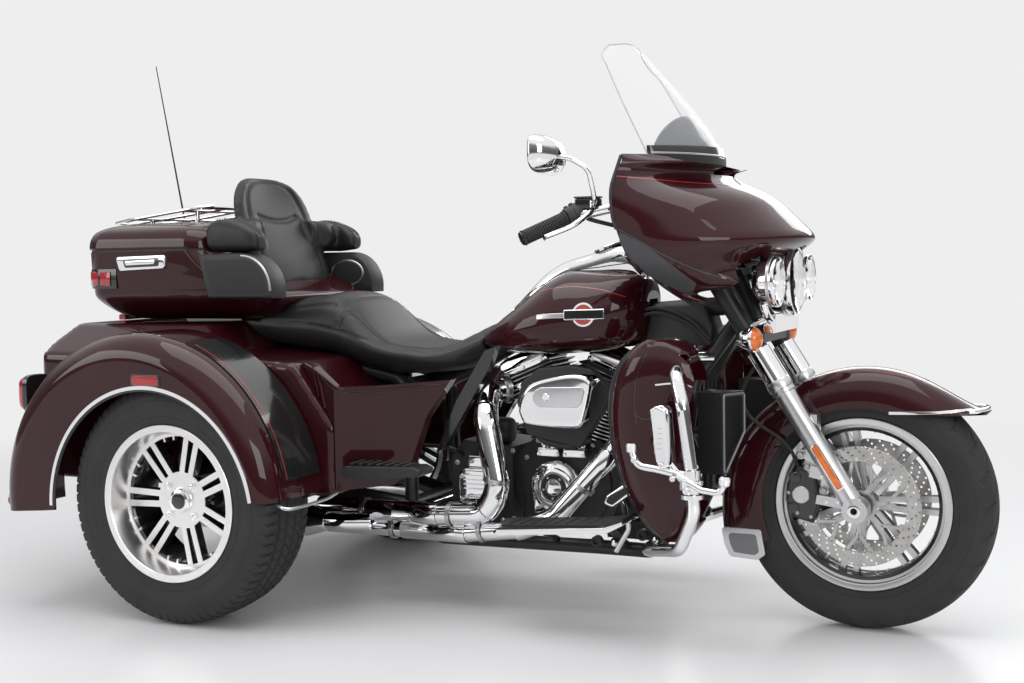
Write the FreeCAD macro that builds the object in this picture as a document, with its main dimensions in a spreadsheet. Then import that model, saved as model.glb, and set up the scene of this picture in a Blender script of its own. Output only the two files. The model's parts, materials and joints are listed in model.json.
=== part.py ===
# A three-wheel touring motorcycle: one steered front wheel, an open V-twin engine and two
# driven rear wheels under a wide body with a luggage box.
# The build frame has its origin on the ground under the rear axle: +X forward, +Y left, +Z up.
# Every finished piece is then moved by axle_to_origin, which puts the origin under the middle.
import FreeCAD, Part
import math
import os
import re
from FreeCAD import Placement, Rotation, Vector

SIZES = {
    "wheelbase": 1670, "rear_track": 1140, "axle_to_origin": 623,
    "front_tyre_radius": 320, "front_tyre_width": 130, "front_rim_radius": 218,
    "front_rim_width": 112, "rear_tyre_radius": 323.5, "rear_tyre_width": 205,
    "rear_rim_radius": 208, "rear_rim_width": 198, "front_axle_radius": 12.5,
    "front_axle_bore": 8, "rear_axle_radius": 20, "running_gap": 0.05, "seat_gap": 0.3,
    "moving_gap": 6, "spoke_pairs": 7, "rear_spoke_phase": 25.7,
    "steering_rake": 26, "steering_trail": 100, "fork_angle": 32, "fork_spacing": 246,
    "fork_slider_radius": 27, "fork_tube_radius": 24, "fork_cover_radius": 30,
    "slider_top": 612, "lower_yoke_level": 738, "upper_yoke_level": 900, "stem_radius": 20,
    "neck_radius": 36, "disc_radius": 150, "disc_thickness": 5, "disc_offset": 78,
    "fender_width": 160, "fender_wall": 5, "fender_skirt_radius": 245, "fender_hem_level": 545,
    "body_width": 1390, "rear_fender_radius": 451, "rear_fender_centre_x": -111,
    "rear_fender_centre_z": 317, "rear_fender_roll": 70, "rear_fender_wall": 8,
    "arch_radius": 320, "arch_centre_x": -40, "arch_centre_z": 303,
    "trunk_width": 896, "trunk_wall": 20, "trunk_floor": 330, "deck_level": 775,
    "deck_width": 640, "trunk_rear": -630, "trunk_front": 375, "door_width": 600,
    "trunk_room_floor": 446,
    "hinge_radius": 7, "hinge_pin_radius": 3,
    "door_low": 450, "door_high": 690, "door_thickness": 25,
    "box_floor": 782, "box_belt": 848, "box_rim": 985, "box_rear": -602, "box_front": -150,
    "box_width": 588, "box_wall": 7, "lid_height": 80,
    "seat_width": 400, "seat_low": 700, "seat_rear": -150, "seat_nose": 690, "pillion_level": 845,
    "backrest_top": 1215, "backrest_width": 320, "armrest_level": 1045,
    "tank_rear": 610, "tank_front": 1110, "tank_width": 345, "tank_top": 915, "tank_bottom": 690,
    "tube_radius": 19, "rail_level": 180, "rail_spacing": 270,
    "crank_x": 885, "crank_level": 335, "cylinder_angle": 22.5, "fin_radius": 82, "fin_count": 13,
    "barrel_radius": 62, "barrel_length": 150, "pipe_radius": 24, "shield_radius": 31,
    "guard_tube_radius": 15.9, "guard_reach": 420,
    "fairing_width": 724, "fairing_wall": 9, "screen_top": 1507, "screen_width": 400,
    "screen_thickness": 4, "headlamp_level": 878, "headlamp_front": 1500, "headlamp_radius": 86,
    "passing_lamp_radius": 56, "passing_lamp_spacing": 330, "grip_radius": 18, "bar_radius": 12.7,
    "handlebar_width": 860, "mirror_spacing": 900,
}

doc = FreeCAD.newDocument("MotorTrike")
sheet = doc.addObject("Spreadsheet::Sheet", "Size")
for row, (alias, number) in enumerate(SIZES.items(), start=1):
    sheet.set("A%d" % row, alias)
    sheet.set("B%d" % row, str(number))
    sheet.setAlias("B%d" % row, alias)
doc.recompute()


def sheet_text(text):
    """Write a formula of size names as an expression on the sheet."""
    return re.sub(r"[a-z_]+", lambda m: "Size." + m.group(0) if m.group(0) in SIZES else m.group(0), str(text))


def size(text):
    """The value of a size name, or of a formula of size names, read from the sheet."""
    return float(sheet.evalExpression(sheet_text(text)))


def bind(item, **formulas):
    for name, text in formulas.items():
        item.setExpression(name, sheet_text(text))
    return item


def place(item, at, along=(0, 0, 1), turn=0):
    """Point the item's own Z along a direction, and bind its place to the sheet."""
    direction = Rotation(Vector(0, 0, 1), Vector(*along))
    item.Placement = Placement(Vector(0, 0, 0), direction * Rotation(Vector(0, 0, 1), turn))
    for axis, text in zip("xyz", at):
        item.setExpression("Placement.Base." + axis, sheet_text(text))
    return item


def cylinder(name, radius, length, at, along=(0, 0, 1)):
    item = doc.addObject("Part::Cylinder", name)
    return place(bind(item, Radius=radius, Height=length), at, along)


def cone(name, radius_start, radius_end, length, at, along=(0, 0, 1)):
    item = doc.addObject("Part::Cone", name)
    return place(bind(item, Radius1=radius_start, Radius2=radius_end, Height=length), at, along)


def box(name, size_x, size_y, size_z, at):
    item = doc.addObject("Part::Box", name)
    return place(bind(item, Length=size_x, Width=size_y, Height=size_z), at)


def solid(name, shape):
    """A piece whose curved form is set from the sheet's values with spline and sweep functions."""
    item = doc.addObject("Part::Feature", name)
    item.Shape = shape
    return item


def fuse(name, items):
    item = doc.addObject("Part::MultiFuse", name)
    item.Shapes = items
    return item


def group(name, items):
    item = doc.addObject("Part::Compound", name)
    item.Links = items
    return item


def cut(name, base, tools):
    item = doc.addObject("Part::Cut", name)
    item.Base = base
    item.Tool = tools[0] if len(tools) == 1 else group(name + "_tools", tools)
    return item


def common(name, base, tool):
    item = doc.addObject("Part::Common", name)
    item.Base = base
    item.Tool = tool
    return item


def mirrored(item):
    """The same piece on the other side of the middle plane."""
    twin = doc.addObject("Part::Mirroring", item.Name + "_twin")
    twin.Source = item
    twin.Normal = Vector(0, 1, 0)
    return twin


def both(item):
    return [item, mirrored(item)]


def softened(name, base, radius, edges=None):
    """Round the edges of a piece, all of them or those that a test picks."""
    doc.recompute()
    rounding = size(radius)
    picked = [n for n, edge in enumerate(base.Shape.Edges, start=1) if edges is None or edges(edge)]
    item = doc.addObject("Part::Fillet", name)
    item.Base = base
    item.Edges = [(n, rounding, rounding) for n in picked]
    return item


nodes = {}


def node(label, items, joined=True):
    """A finished piece: its solids, joined or side by side, moved to the object's own origin."""
    item = fuse(label, items) if joined and len(items) > 1 else group(label, items)
    item.Label = label
    bind(item, **{"Placement.Base.x": "-axle_to_origin"})
    nodes[label] = item
    return item


def smooth_ring(points):
    curve = Part.BSplineCurve()
    curve.interpolate([Vector(*p) for p in points], PeriodicFlag=True)
    return Part.Wire([curve.toShape()])


def oval(half_width, low, belt, high, upper=2.3, lower=3.0, count=20):
    """Points (across, up) of a closed oval, widest at the belt, squarer as the powers grow."""
    points = []
    for step in range(count):
        angle = 2 * math.pi * (step + 0.5) / count
        c, s = math.cos(angle), math.sin(angle)
        power = upper if s > 0 else lower
        reach = high - belt if s > 0 else belt - low
        across = half_width * math.copysign(abs(c) ** (2 / power), c)
        points.append((across, belt + reach * math.copysign(abs(s) ** (2 / power), s)))
    return points


def loft_along_x(stations, upper=2.3, lower=3.0):
    """A closed smooth form through ovals; a station is (x, half width, low, belt, high)."""
    rings = [smooth_ring([(x, y, z) for y, z in oval(half, low, belt, high, upper, lower)])
             for x, half, low, belt, high in stations]
    return Part.makeLoft(rings, True, False)


def rounded_outline(low_x, high_x, half_y, level, corner):
    """A rectangle with round corners at one level, symmetric about the middle plane."""
    corner = min(corner, half_y * 0.95, (high_x - low_x) * 0.45)
    edges = []
    corners = [(high_x, -half_y), (high_x, half_y), (low_x, half_y), (low_x, -half_y)]
    centres = [(high_x - corner, -half_y + corner), (high_x - corner, half_y - corner),
               (low_x + corner, half_y - corner), (low_x + corner, -half_y + corner)]
    start_angles = [-90, 0, 90, 180]
    ends = []
    for (cx, cy), start in zip(centres, start_angles):
        points = [Vector(cx + corner * math.cos(math.radians(start + turn)),
                         cy + corner * math.sin(math.radians(start + turn)), level) for turn in (0, 45, 90)]
        ends.append(points)
    for n, points in enumerate(ends):
        edges.append(Part.Arc(*points).toShape())
        edges.append(Part.LineSegment(points[2], ends[(n + 1) % 4][0]).toShape())
    return Part.Wire(edges)


def tray(levels, corner, ruled=True):
    """A form lofted upwards through rounded rectangles (low x, high x, half width, level)."""
    return Part.makeLoft([rounded_outline(*level, corner) for level in levels], True, ruled)


def bent_path(points, bend):
    """Straight runs joined by tangent arcs, each arc as large as bend or as its runs allow."""
    points = [Vector(*p) for p in points]
    edges = []
    start = points[0]
    for before, corner, after in zip(points, points[1:], points[2:]):
        into = (corner - before).normalize()
        out = (after - corner).normalize()
        half_turn = into.getAngle(out) / 2
        room = 0.45 * min((corner - before).Length, (after - corner).Length)
        reach = min(bend * math.tan(half_turn), room)
        first, last = corner - into * reach, corner + out * reach
        radius = reach / math.tan(half_turn)
        middle = corner + (out - into).normalize() * (radius / math.cos(half_turn) - radius)
        edges.append(Part.LineSegment(start, first).toShape())
        edges.append(Part.Arc(first, middle, last).toShape())
        start = last
    edges.append(Part.LineSegment(start, points[-1]).toShape())
    return Part.Wire(edges)


def bent_tube(name, points, radius, bend=60):
    """A round tube or rod along a path of straight runs and bends."""
    path = bent_path(points, bend)
    first = path.Edges[0]
    ring = Part.Wire([Part.Circle(Vector(*points[0]), first.tangentAt(first.FirstParameter),
                                  size(radius)).toShape()])
    return solid(name, path.makePipeShell([ring], True, False))


def straight_tube(name, start, end, radius):
    run = Vector(*end) - Vector(*start)
    return solid(name, Part.makeCylinder(size(radius), run.Length, Vector(*start), run))


def prism(name, outline, low_y, high_y):
    """A flat side outline of (x, z) points, given thickness across the vehicle."""
    points = [Vector(x, low_y, z) for x, z in outline]
    face = Part.Face(Part.makePolygon(points + points[:1]))
    return solid(name, face.extrude(Vector(0, high_y - low_y, 0)))


def upright(name, outline, low, high):
    """An outline of (x, y) points seen from above, given height."""
    points = [Vector(x, y, low) for x, y in outline]
    face = Part.Face(Part.makePolygon(points + points[:1]))
    return solid(name, face.extrude(Vector(0, 0, high - low)))


def turned(name, profile, centre, axis=(0, 1, 0)):
    """A profile of (along, radius) points turned about an axis through the centre."""
    along = Vector(*axis)
    out = Vector(0, 0, 1) if abs(along.z) < 0.9 else Vector(1, 0, 0)
    out = (out - along * out.dot(along)).normalize()
    points = [Vector(*centre) + along * a + out * r for a, r in profile]
    face = Part.Face(Part.makePolygon(points + points[:1]))
    return solid(name, face.revolve(Vector(*centre), along, 360))


def steering_axis_x(level):
    return size("wheelbase + steering_trail") - level * math.tan(math.radians(size("steering_rake")))


def fork_x(level):
    drop = level - size("front_tyre_radius")
    return size("wheelbase") - drop * math.tan(math.radians(size("fork_angle")))


def steering_direction():
    rake = math.radians(size("steering_rake"))
    return Vector(-math.sin(rake), 0, math.cos(rake))


def fork_direction():
    lean = math.radians(size("fork_angle"))
    return Vector(-math.sin(lean), 0, math.cos(lean))


# Wheels

def tyre_profile(half_width, radius, bead, bead_half, flange, crown_drop, tread_half):
    """Half outline of a tyre's section, mirrored about its middle: (along, radius)."""
    height = radius - bead
    half = [(bead_half, bead), (bead_half, flange + 0.5), (bead_half + 10, flange + 4),
            (half_width, bead + height * 0.45), (half_width * 0.97, bead + height * 0.68),
            ((half_width + tread_half) / 2, radius - crown_drop * 2.2), (tread_half, radius - crown_drop),
            (tread_half * 0.5, radius - crown_drop * 0.28)]
    return half + [(0, radius)] + [(-a, r) for a, r in reversed(half)]


def front_wheel():
    half = size("front_rim_width / 2")
    flange = size("front_rim_radius")
    seat = flange - 14
    centre = (size("wheelbase"), 0, size("front_tyre_radius"))
    tyre = turned("front_tyre_ring", tyre_profile(size("front_tyre_width / 2"), size("front_tyre_radius"),
                                                  seat, half - 9, flange, 9,
                                                  size("front_tyre_width / 2") * 0.66), centre)
    node("front_tyre", [tyre])
    well = seat - 12
    rim = turned("front_rim_ring", [(-half, flange), (-half + 7, flange), (-half + 9, seat), (half - 9, seat),
                                    (half - 7, flange), (half, flange), (half, seat - 4), (half - 18, well),
                                    (-half + 18, well), (-half, seat - 4)], centre)
    hub_length = size("2 * disc_offset - disc_thickness")
    hub = cylinder("front_hub", 38, hub_length, ("wheelbase", -hub_length / 2, "front_tyre_radius"), (0, 1, 0))
    spokes = [spoke_pair("front_spoke_%d" % n, centre, 360 * n / size("spoke_pairs"), 30, well + 4, 13, 30, 20)
              for n in range(int(size("spoke_pairs")))]
    blank = fuse("front_rim_blank", [rim, hub] + spokes)
    bore = cylinder("front_hub_bore", "front_axle_radius + running_gap", 400,
                    ("wheelbase", -200, "front_tyre_radius"), (0, 1, 0))
    node("front_rim", [cut("front_rim_cut", blank, [bore])])
    discs = []
    for side, place_y in (("right", "-disc_offset - disc_thickness / 2"),
                          ("left", "disc_offset - disc_thickness / 2")):
        disc = cylinder("disc_blank_" + side, "disc_radius", "disc_thickness",
                        ("wheelbase", place_y, "front_tyre_radius"), (0, 1, 0))
        inner = cylinder("disc_hole_" + side, "disc_radius - 34", 60,
                         ("wheelbase", "%s - 20" % place_y, "front_tyre_radius"), (0, 1, 0))
        carrier = cylinder("disc_carrier_" + side, 62, "disc_thickness",
                           ("wheelbase", place_y, "front_tyre_radius"), (0, 1, 0))
        arms = []
        for n in range(5):
            angle = math.radians(72 * n + 20)
            start = Vector(math.cos(angle), 0, math.sin(angle)) * 40
            end = Vector(math.cos(angle + 0.35), 0, math.sin(angle + 0.35)) * (size("disc_radius") - 30)
            middle = Vector(centre[0], size(place_y) + size("disc_thickness") / 2, centre[2])
            arms.append(flat_bar("disc_arm_%s_%d" % (side, n), middle + start, middle + end, 16,
                                 size("disc_thickness")))
        ring = cut("disc_ring_" + side, disc, [inner])
        hole = cylinder("disc_centre_" + side, "front_axle_radius + moving_gap", 60,
                        ("wheelbase", "%s - 20" % place_y, "front_tyre_radius"), (0, 1, 0))
        discs.append(cut("front_disc_" + side, fuse("disc_spider_" + side, [ring, carrier] + arms), [hole]))
    node("front_discs", discs, joined=False)


def flat_bar(name, start, end, width, thickness):
    """A flat bar in a plane across Y, from one point to another."""
    run = end - start
    side = Vector(run.z, 0, -run.x).normalize() * (width / 2)
    depth = Vector(0, thickness / 2, 0)
    face = Part.Face(Part.makePolygon([start - side - depth, start + side - depth, end + side - depth,
                                       end - side - depth, start - side - depth]))
    return solid(name, face.extrude(depth * 2))


def spoke_pair(name, centre, angle, inner, outer, width, gap, thickness, offset=0):
    """Two bars side by side from the hub to the rim."""
    out = Vector(math.cos(math.radians(angle)), 0, math.sin(math.radians(angle)))
    across = Vector(-out.z, 0, out.x)
    middle = Vector(*centre) + Vector(0, offset, 0)
    bars = []
    for side in (-1, 1):
        foot = middle + out * inner + across * (side * gap * 0.28)
        tip = middle + out * outer + across * (side * gap * 0.5)
        bars.append(flat_bar("%s_%s" % (name, "left" if side < 0 else "right"), foot, tip, width, thickness))
    return fuse(name, bars)


def rear_wheel(side, sign):
    half = size("rear_rim_width / 2")
    flange = size("rear_rim_radius")
    seat = flange - 12
    centre = (0, sign * size("rear_track / 2"), size("rear_tyre_radius"))
    tyre = turned("rear_tyre_ring_" + side, tyre_profile(size("rear_tyre_width / 2"), size("rear_tyre_radius"),
                                                         seat,
                                                         half - 10, flange, 6,
                                                         size("rear_tyre_width / 2") * 0.78), centre)
    node("rear_tyre_" + side, [tyre])
    barrel = seat - 7
    rim = turned("rear_rim_ring_" + side, [(-half, flange), (-half + 6, flange), (-half + 10, seat),
                                           (half - 10, seat),
                                           (half - 6, flange), (half, flange), (half, seat + 1),
                                           (half - 14, barrel),
                                           (-half + 14, barrel), (-half, seat + 1)], centre)
    face_offset = sign * 22
    spokes = [spoke_pair("rear_spoke_%s_%d" % (side, n), centre,
                         360 * n / size("spoke_pairs") + size("rear_spoke_phase"), 45, barrel + 3,
                         17, 50, 24, face_offset) for n in range(int(size("spoke_pairs")))]
    hub_start = centre[1] + face_offset - 16
    hub = cylinder("rear_hub_" + side, 64, 32, (0, hub_start, "rear_tyre_radius"), (0, 1, 0))
    carrier = cylinder("rear_hub_carrier_" + side, 48, 70, (0, centre[1] + face_offset - sign * 35 - 35,
                                                            "rear_tyre_radius"), (0, 1, 0))
    blank = fuse("rear_rim_blank_" + side, [rim, hub, carrier] + spokes)
    bore_end = sign * (size("rear_track / 2") + 30)
    bore_start = sign * (size("rear_track / 2") - 90)
    bore = cylinder("rear_hub_bore_" + side, "rear_axle_radius + running_gap", abs(bore_end - bore_start),
                    (0, min(bore_end, bore_start), "rear_tyre_radius"), (0, 1, 0))
    node("rear_rim_" + side, [cut("rear_rim_cut_" + side, blank, [bore])])


def rear_axle():
    reach = size("rear_track / 2") + 28
    shaft = cylinder("rear_axle_shaft", "rear_axle_radius", 2 * reach, (0, -reach, "rear_tyre_radius"),
                     (0, 1, 0))
    housing_half = size("rear_track / 2") - 90
    housing = cylinder("rear_axle_housing", 42, 2 * housing_half, (0, -housing_half, "rear_tyre_radius"),
                       (0, 1, 0))
    carrier = cylinder("rear_axle_carrier", 88, 150, (0, -75, "rear_tyre_radius"), (0, 1, 0))
    arms = [straight_tube("swing_arm_" + side, (0, y, size("rear_tyre_radius")), (420, y * 0.5, 250), 24)
            for side, y in (("right", -220), ("left", 220))]
    pivot = cylinder("swing_arm_pivot", 26, "rail_spacing - 2 * tube_radius - 2 * seat_gap",
                     (420, "-rail_spacing / 2 + tube_radius + seat_gap", 250), (0, 1, 0))
    node("rear_axle", [cut("rear_axle_seated", fuse("rear_axle_joined",
                                                    [shaft, housing, carrier, pivot] + arms),
                           [nodes_base("frame")])])


# Frame

def backbone_points():
    middle = size("(lower_yoke_level + upper_yoke_level) / 2")
    return [(steering_axis_x(middle), 0, middle), (1130, 0, 800), (820, 0, 752), (690, 0, 706), (600, 0, 656),
            (430, 0, 580)]


def frame():
    neck_low = size("lower_yoke_level") + 22
    neck_high = size("upper_yoke_level") - 18
    direction = steering_direction()
    low = Vector(steering_axis_x(neck_low), 0, neck_low)
    neck = solid("neck_tube", Part.makeCylinder(size("neck_radius"), (neck_high - neck_low) / direction.z, low,
                                                direction))
    bore = solid("neck_bore", Part.makeCylinder(size("stem_radius + running_gap"), 400, low - direction * 100,
                                                direction))
    middle = (neck_low + neck_high) / 2
    neck_x = steering_axis_x(middle)
    rail = size("rail_level")
    half = size("rail_spacing / 2")
    backbone = bent_tube("backbone", backbone_points(), "tube_radius + 6", 120)
    tubes = [neck, backbone]
    for side, sign in (("right", -1), ("left", 1)):
        y = sign * half
        tubes.append(bent_tube("cradle_" + side, [
            (neck_x - 12, sign * 10, neck_low + 36), (neck_x - 125, sign * 72, 620), (1215, y, 300),
            (1160, y, rail),
            (1000, y, rail),
            (520, y, rail - 8), (430, y, rail + 70), (430, y * 0.9, 560), (390, y * 0.8, 612),
            (262, y * 0.84, 640)],
            "tube_radius", 50))
    for n, x in enumerate((1120, 560), start=1):
        tubes.append(cylinder("cross_tube_%d" % n, "tube_radius - 3", "rail_spacing",
                              (x, "-rail_spacing / 2", rail - 3), (0, 1, 0)))
    tubes.append(cylinder("seat_cross_tube", "tube_radius - 3", 2 * half * 0.84, (420, -half * 0.84, 600),
                          (0, 1, 0)))
    blank = fuse("frame_blank", tubes)
    node("frame", [cut("frame_cut", blank, [bore, nodes_base("rear_body")])])


# Engine

def cylinder_point(sign, distance, across=0.0, along=0.0):
    """A point on a cylinder's axis, sign -1 for the rear one, at a distance from the crank."""
    lean = math.radians(size("cylinder_angle")) * sign
    return Vector(size("crank_x") + distance * math.sin(lean) + along * math.cos(lean), across,
                  size("crank_level") + distance * math.cos(lean) - along * math.sin(lean))


def crankcase():
    x, z = size("crank_x"), size("crank_level")
    case = cylinder("crank_drum", 128, 170, ("crank_x", -85, "crank_level"), (0, 1, 0))
    deck = prism("crank_deck", [(x - 150, z - 40), (x - 160, z + 60), (x - 95, z + 122), (x, z + 95),
                                (x + 95, z + 122),
                                (x + 160, z + 60), (x + 150, z - 40), (x + 120, z - 118), (x - 120, z - 118)],
                                -80, 80)
    gearbox = prism("gearbox_case", [(x - 152, z - 118), (x - 152, z + 95), (x - 300, z + 110),
                                     (x - 340, z + 60),
                                     (x - 340, z - 80), (x - 300, z - 118)], -105, 105)
    nose = cylinder("oil_filter", 38, 90, (x + 150, 0, z - 70), (1, 0, 0))
    primary = prism("primary_case", [(x + 110, z - 100), (x + 150, z), (x + 110, z + 90), (x - 300, z + 75),
                                     (x - 345, z), (x - 300, z - 95)], 105, 150)
    bridge = prism("primary_bridge", [(x + 90, z - 80), (x + 90, z + 70), (x - 290, z + 60),
                                      (x - 290, z - 80)], 70, 110)
    feet = [box("engine_foot_front", 160, 60, 50, (x + 95, -30, size("rail_level") + 4)),
            box("engine_foot_rear", 50, 80, 36, (x - 350, -40, size("rail_level") + 4))]
    joined = fuse("crankcase_joined", [case, deck, gearbox, nose, primary, bridge] + feet)
    node("crankcase", [cut("crankcase_seated", joined, [nodes_base("frame")])])


def cylinders():
    barrels = []
    heads = []
    for name, sign in (("rear", -1), ("front", 1)):
        foot = cylinder_point(sign, 118)
        axis = (cylinder_point(sign, 200) - foot).normalize()
        length = size("barrel_length")
        core = solid("barrel_core_" + name, Part.makeCylinder(size("barrel_radius"), length, foot, axis))
        fins = []
        count = int(size("fin_count"))
        pitch = (length - 14) / count
        for n in range(count):
            start = foot + axis * (12 + n * pitch)
            fin = solid("barrel_fin_%s_%d" % (name, n), Part.makeCylinder(size("fin_radius"), pitch * 0.42,
                start, axis))
            fins.append(fin)
        blank = fuse("barrel_" + name, [core] + fins)
        barrels.append(blank)
        head_start = 118 + length
        plates = [lean_block("head_core_" + name, sign, head_start, head_start + 62, 72, 70)]
        for n in range(5):
            base = head_start + 6 + n * 11.5
            plates.append(lean_block("head_fin_%s_%d" % (name, n), sign, base, base + 5, 88, 84))
        heads.append(fuse("head_" + name, plates))
    middle = size("crank_x")
    halves = [prism("rear_half", [(middle - 500, 431), (middle - 500, 900), (middle - 2, 900),
                                  (middle - 2, 431)], -300, 300),
              prism("front_half", [(middle + 2, 431), (middle + 2, 900), (middle + 500, 900),
                                   (middle + 500, 431)], -300, 300)]
    banks = []
    for name, barrel, head, half in zip(("rear", "front"), barrels, heads, halves):
        banks.append(common("bank_" + name, fuse("bank_blank_" + name, [barrel, head]), half))
    node("cylinders", [cut("bank_%s_seated" % n, b, [nodes_base("crankcase")]) for n,
                       b in zip(("rear", "front"), banks)],
         joined=False)


def lean_block(name, sign, start, end, half_along, half_across):
    """A block square to a cylinder's axis, between two distances from the crank."""
    corners = [cylinder_point(sign, start, -half_across, -half_along),
               cylinder_point(sign, start, -half_across, half_along),
               cylinder_point(sign, end, -half_across, half_along),
               cylinder_point(sign, end, -half_across, -half_along)]
    face = Part.Face(Part.makePolygon(corners + corners[:1]))
    return solid(name, face.extrude(Vector(0, 2 * half_across, 0)))


def nodes_base(label):
    """A copy of a finished piece before it is moved to the object's origin, to cut others with."""
    source = nodes[label]
    name = "seat_of_" + label
    found = doc.getObject(name)
    if found:
        return found
    if source.TypeId == "Part::MultiFuse":
        return fuse(name, list(source.Shapes))
    return group(name, list(source.Links))


def rocker_covers():
    covers = []
    start = 118 + size("barrel_length") + 62 + size("seat_gap")
    for name, sign in (("rear", -1), ("front", 1)):
        blank = lean_block("rocker_blank_" + name, sign, start, start + 52, 78, 74)
        covers.append(softened("rocker_cover_" + name, blank, "16", lambda edge: True))
    halves = [doc.getObject("rear_half"), doc.getObject("front_half")]
    node("rocker_covers", [common("rocker_%d" % n, c, h) for n, (c, h) in enumerate(zip(covers, halves))],
         joined=False)


def pushrod_tubes():
    tubes = []
    x, z = size("crank_x"), size("crank_level")
    for sign in (-1, 1):
        for side in (-1, 1):
            foot = Vector(x + sign * 38 + side * 13, -104, z + 92)
            top = cylinder_point(sign, 118 + size("barrel_length") + 30, -104, side * 20 - sign * 8)
            tubes.append(straight_tube("pushrod_%d_%d" % (sign, side), foot, top, "9"))
            tubes.append(straight_tube("pushrod_cup_%d_%d" % (sign, side), foot, foot + (top - foot) * 0.2,
                                       "13"))
    blocks = []
    for sign in (-1, 1):
        block = prism("lifter_block_%d" % sign, [(x + sign * 38 - 34, z + 79), (x + sign * 38 - 30, z + 99),
                                                 (x + sign * 38 + 30, z + 99), (x + sign * 38 + 34, z + 79)],
                      -122, -85 - size("seat_gap"))
        blocks.append(block)
    node("pushrod_tubes", [fuse("pushrods", tubes + blocks)])


def air_cleaner():
    mount_face, face = -150, -246
    back = prism("cleaner_back", [(782, 563), (799, 619), (845, 654), (934, 665), (997, 655), (1050, 608),
                                  (1053, 580),
                                  (965, 446), (811, 476)], -178, mount_face)
    cover = prism("cleaner_blank", [(838, 506), (852, 592), (884, 634), (990, 648), (1028, 612), (1008, 546),
                                    (982, 500)],
                  face, mount_face)
    crown = softened("cleaner_cover", cover, "18", lambda edge: abs(edge.CenterOfMass.y - face) < 1)
    throat = cylinder("cleaner_throat", 34, 105, ("crank_x", mount_face - 1, 582), (0, 1, 0))
    node("air_cleaner", [cut("cleaner_seated", fuse("cleaner_joined", [back, crown, throat]),
                             [nodes_base("cylinders")])])


def engine_covers():
    x, z = size("crank_x"), size("crank_level")
    cam_x, cam_z = x - 26, z - 8
    drum_face = -85 - size("seat_gap")
    cam = [cylinder("cam_cover", 74, 26, (cam_x, drum_face, cam_z), (0, -1, 0)),
           cylinder("cam_cover_rim", 60, 34, (cam_x, drum_face, cam_z), (0, -1, 0)),
           prism("cam_cover_foot", [(cam_x - 62, cam_z - 90), (cam_x - 70, cam_z), (cam_x + 70, cam_z),
                                    (cam_x + 40, cam_z - 90)], -105, drum_face)]
    gear = prism("gear_cover_blank", [(x - 290, z - 58), (x - 290, z + 30), (x - 268, z + 42),
                                      (x - 192, z + 42),
                                      (x - 172, z + 26), (x - 172, z - 58)], -165, -105 - size("seat_gap"))
    top = prism("gear_cover_top", [(x - 268, z + 42), (x - 268, z + 74), (x - 200, z + 74), (x - 200, z + 42)],
                -150, -105 - size("seat_gap"))
    gear_soft = softened("gear_cover", gear, "14", lambda edge: edge.CenterOfMass.y < -160)
    primary = prism("primary_cover_blank", [(x + 105, z - 92), (x + 142, z), (x + 105, z + 84),
                                            (x - 296, z + 68),
                                            (x - 336, z), (x - 296, z - 88)], 150 + size("seat_gap"), 196)
    primary_soft = softened("primary_cover", primary, "26", lambda edge: edge.CenterOfMass.y > 190)
    node("engine_covers", [fuse("cam_side", cam), fuse("gear_side", [gear_soft, top]), primary_soft],
         joined=False)


def exhaust_pipes():
    rear_port = cylinder_point(-1, 300, -60, -62)
    front_port = cylinder_point(1, 300, -60, 62)
    rear = bent_tube("rear_pipe", [rear_port, (rear_port.x - 48, -105, rear_port.z - 6), (694, -190, 520),
                                   (742, -212, 330),
                                   (700, -214, 262), (560, -214, 252), (430, -216, 250), (180, -218, 250)],
                                   "shield_radius", 90)
    front = bent_tube("front_pipe", [front_port, (front_port.x + 58, -110, front_port.z - 30),
                                     (1042, -196, 420),
                                     (900, -212, 262), (800, -214, 226), (640, -214, 206), (450, -216, 206),
                                     (210, -218, 205)],
                      "pipe_radius", 90)
    crossover = bent_tube("crossover_pipe", [(500, -212, 258), (500, 258, 258), (400, 262, 226),
                                             (360, 262, 226)], "pipe_radius - 2", 70)
    headers = fuse("headers", [rear, front, crossover])
    start = 118 + size("barrel_length")
    envelopes = [lean_block("head_envelope_%d" % sign, sign, start, start + 118, 88, 84) for sign in (-1, 1)]
    sleeves = [solid("barrel_envelope_%d" % sign, Part.makeCylinder(
        size("fin_radius"), size("barrel_length"), cylinder_point(sign, 118),
        cylinder_point(sign, 200) - cylinder_point(sign, 118))) for sign in (-1, 1)]
    node("exhaust_pipes", [cut("headers_seated", headers, envelopes + sleeves + [nodes_base("crankcase")])])


def mufflers():
    cans = []
    for side, y in (("right", -292), ("left", 292)):
        can = cylinder("muffler_" + side, 44, 520, (-330, y, 226), (1, 0, 0))
        tip = cylinder("muffler_tip_" + side, 34, 40, (-370, y, 226), (1, 0, 0))
        neck = cone("muffler_neck_" + side, 44, 26, 60, (190, y, 226), (1, 0, 0))
        sweep_in = bent_tube("muffler_link_" + side, [(240, y, 226), (300, y, 226),
                                                      (370, math.copysign(262, y), 226)], 24, 40)
        joined = fuse("muffler_joined_" + side, [can, tip, neck, sweep_in])
        cans.append(cut("muffler_set_" + side, joined, [nodes_base("exhaust_pipes")]))
    node("mufflers", cans, joined=False)


# Body

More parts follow.
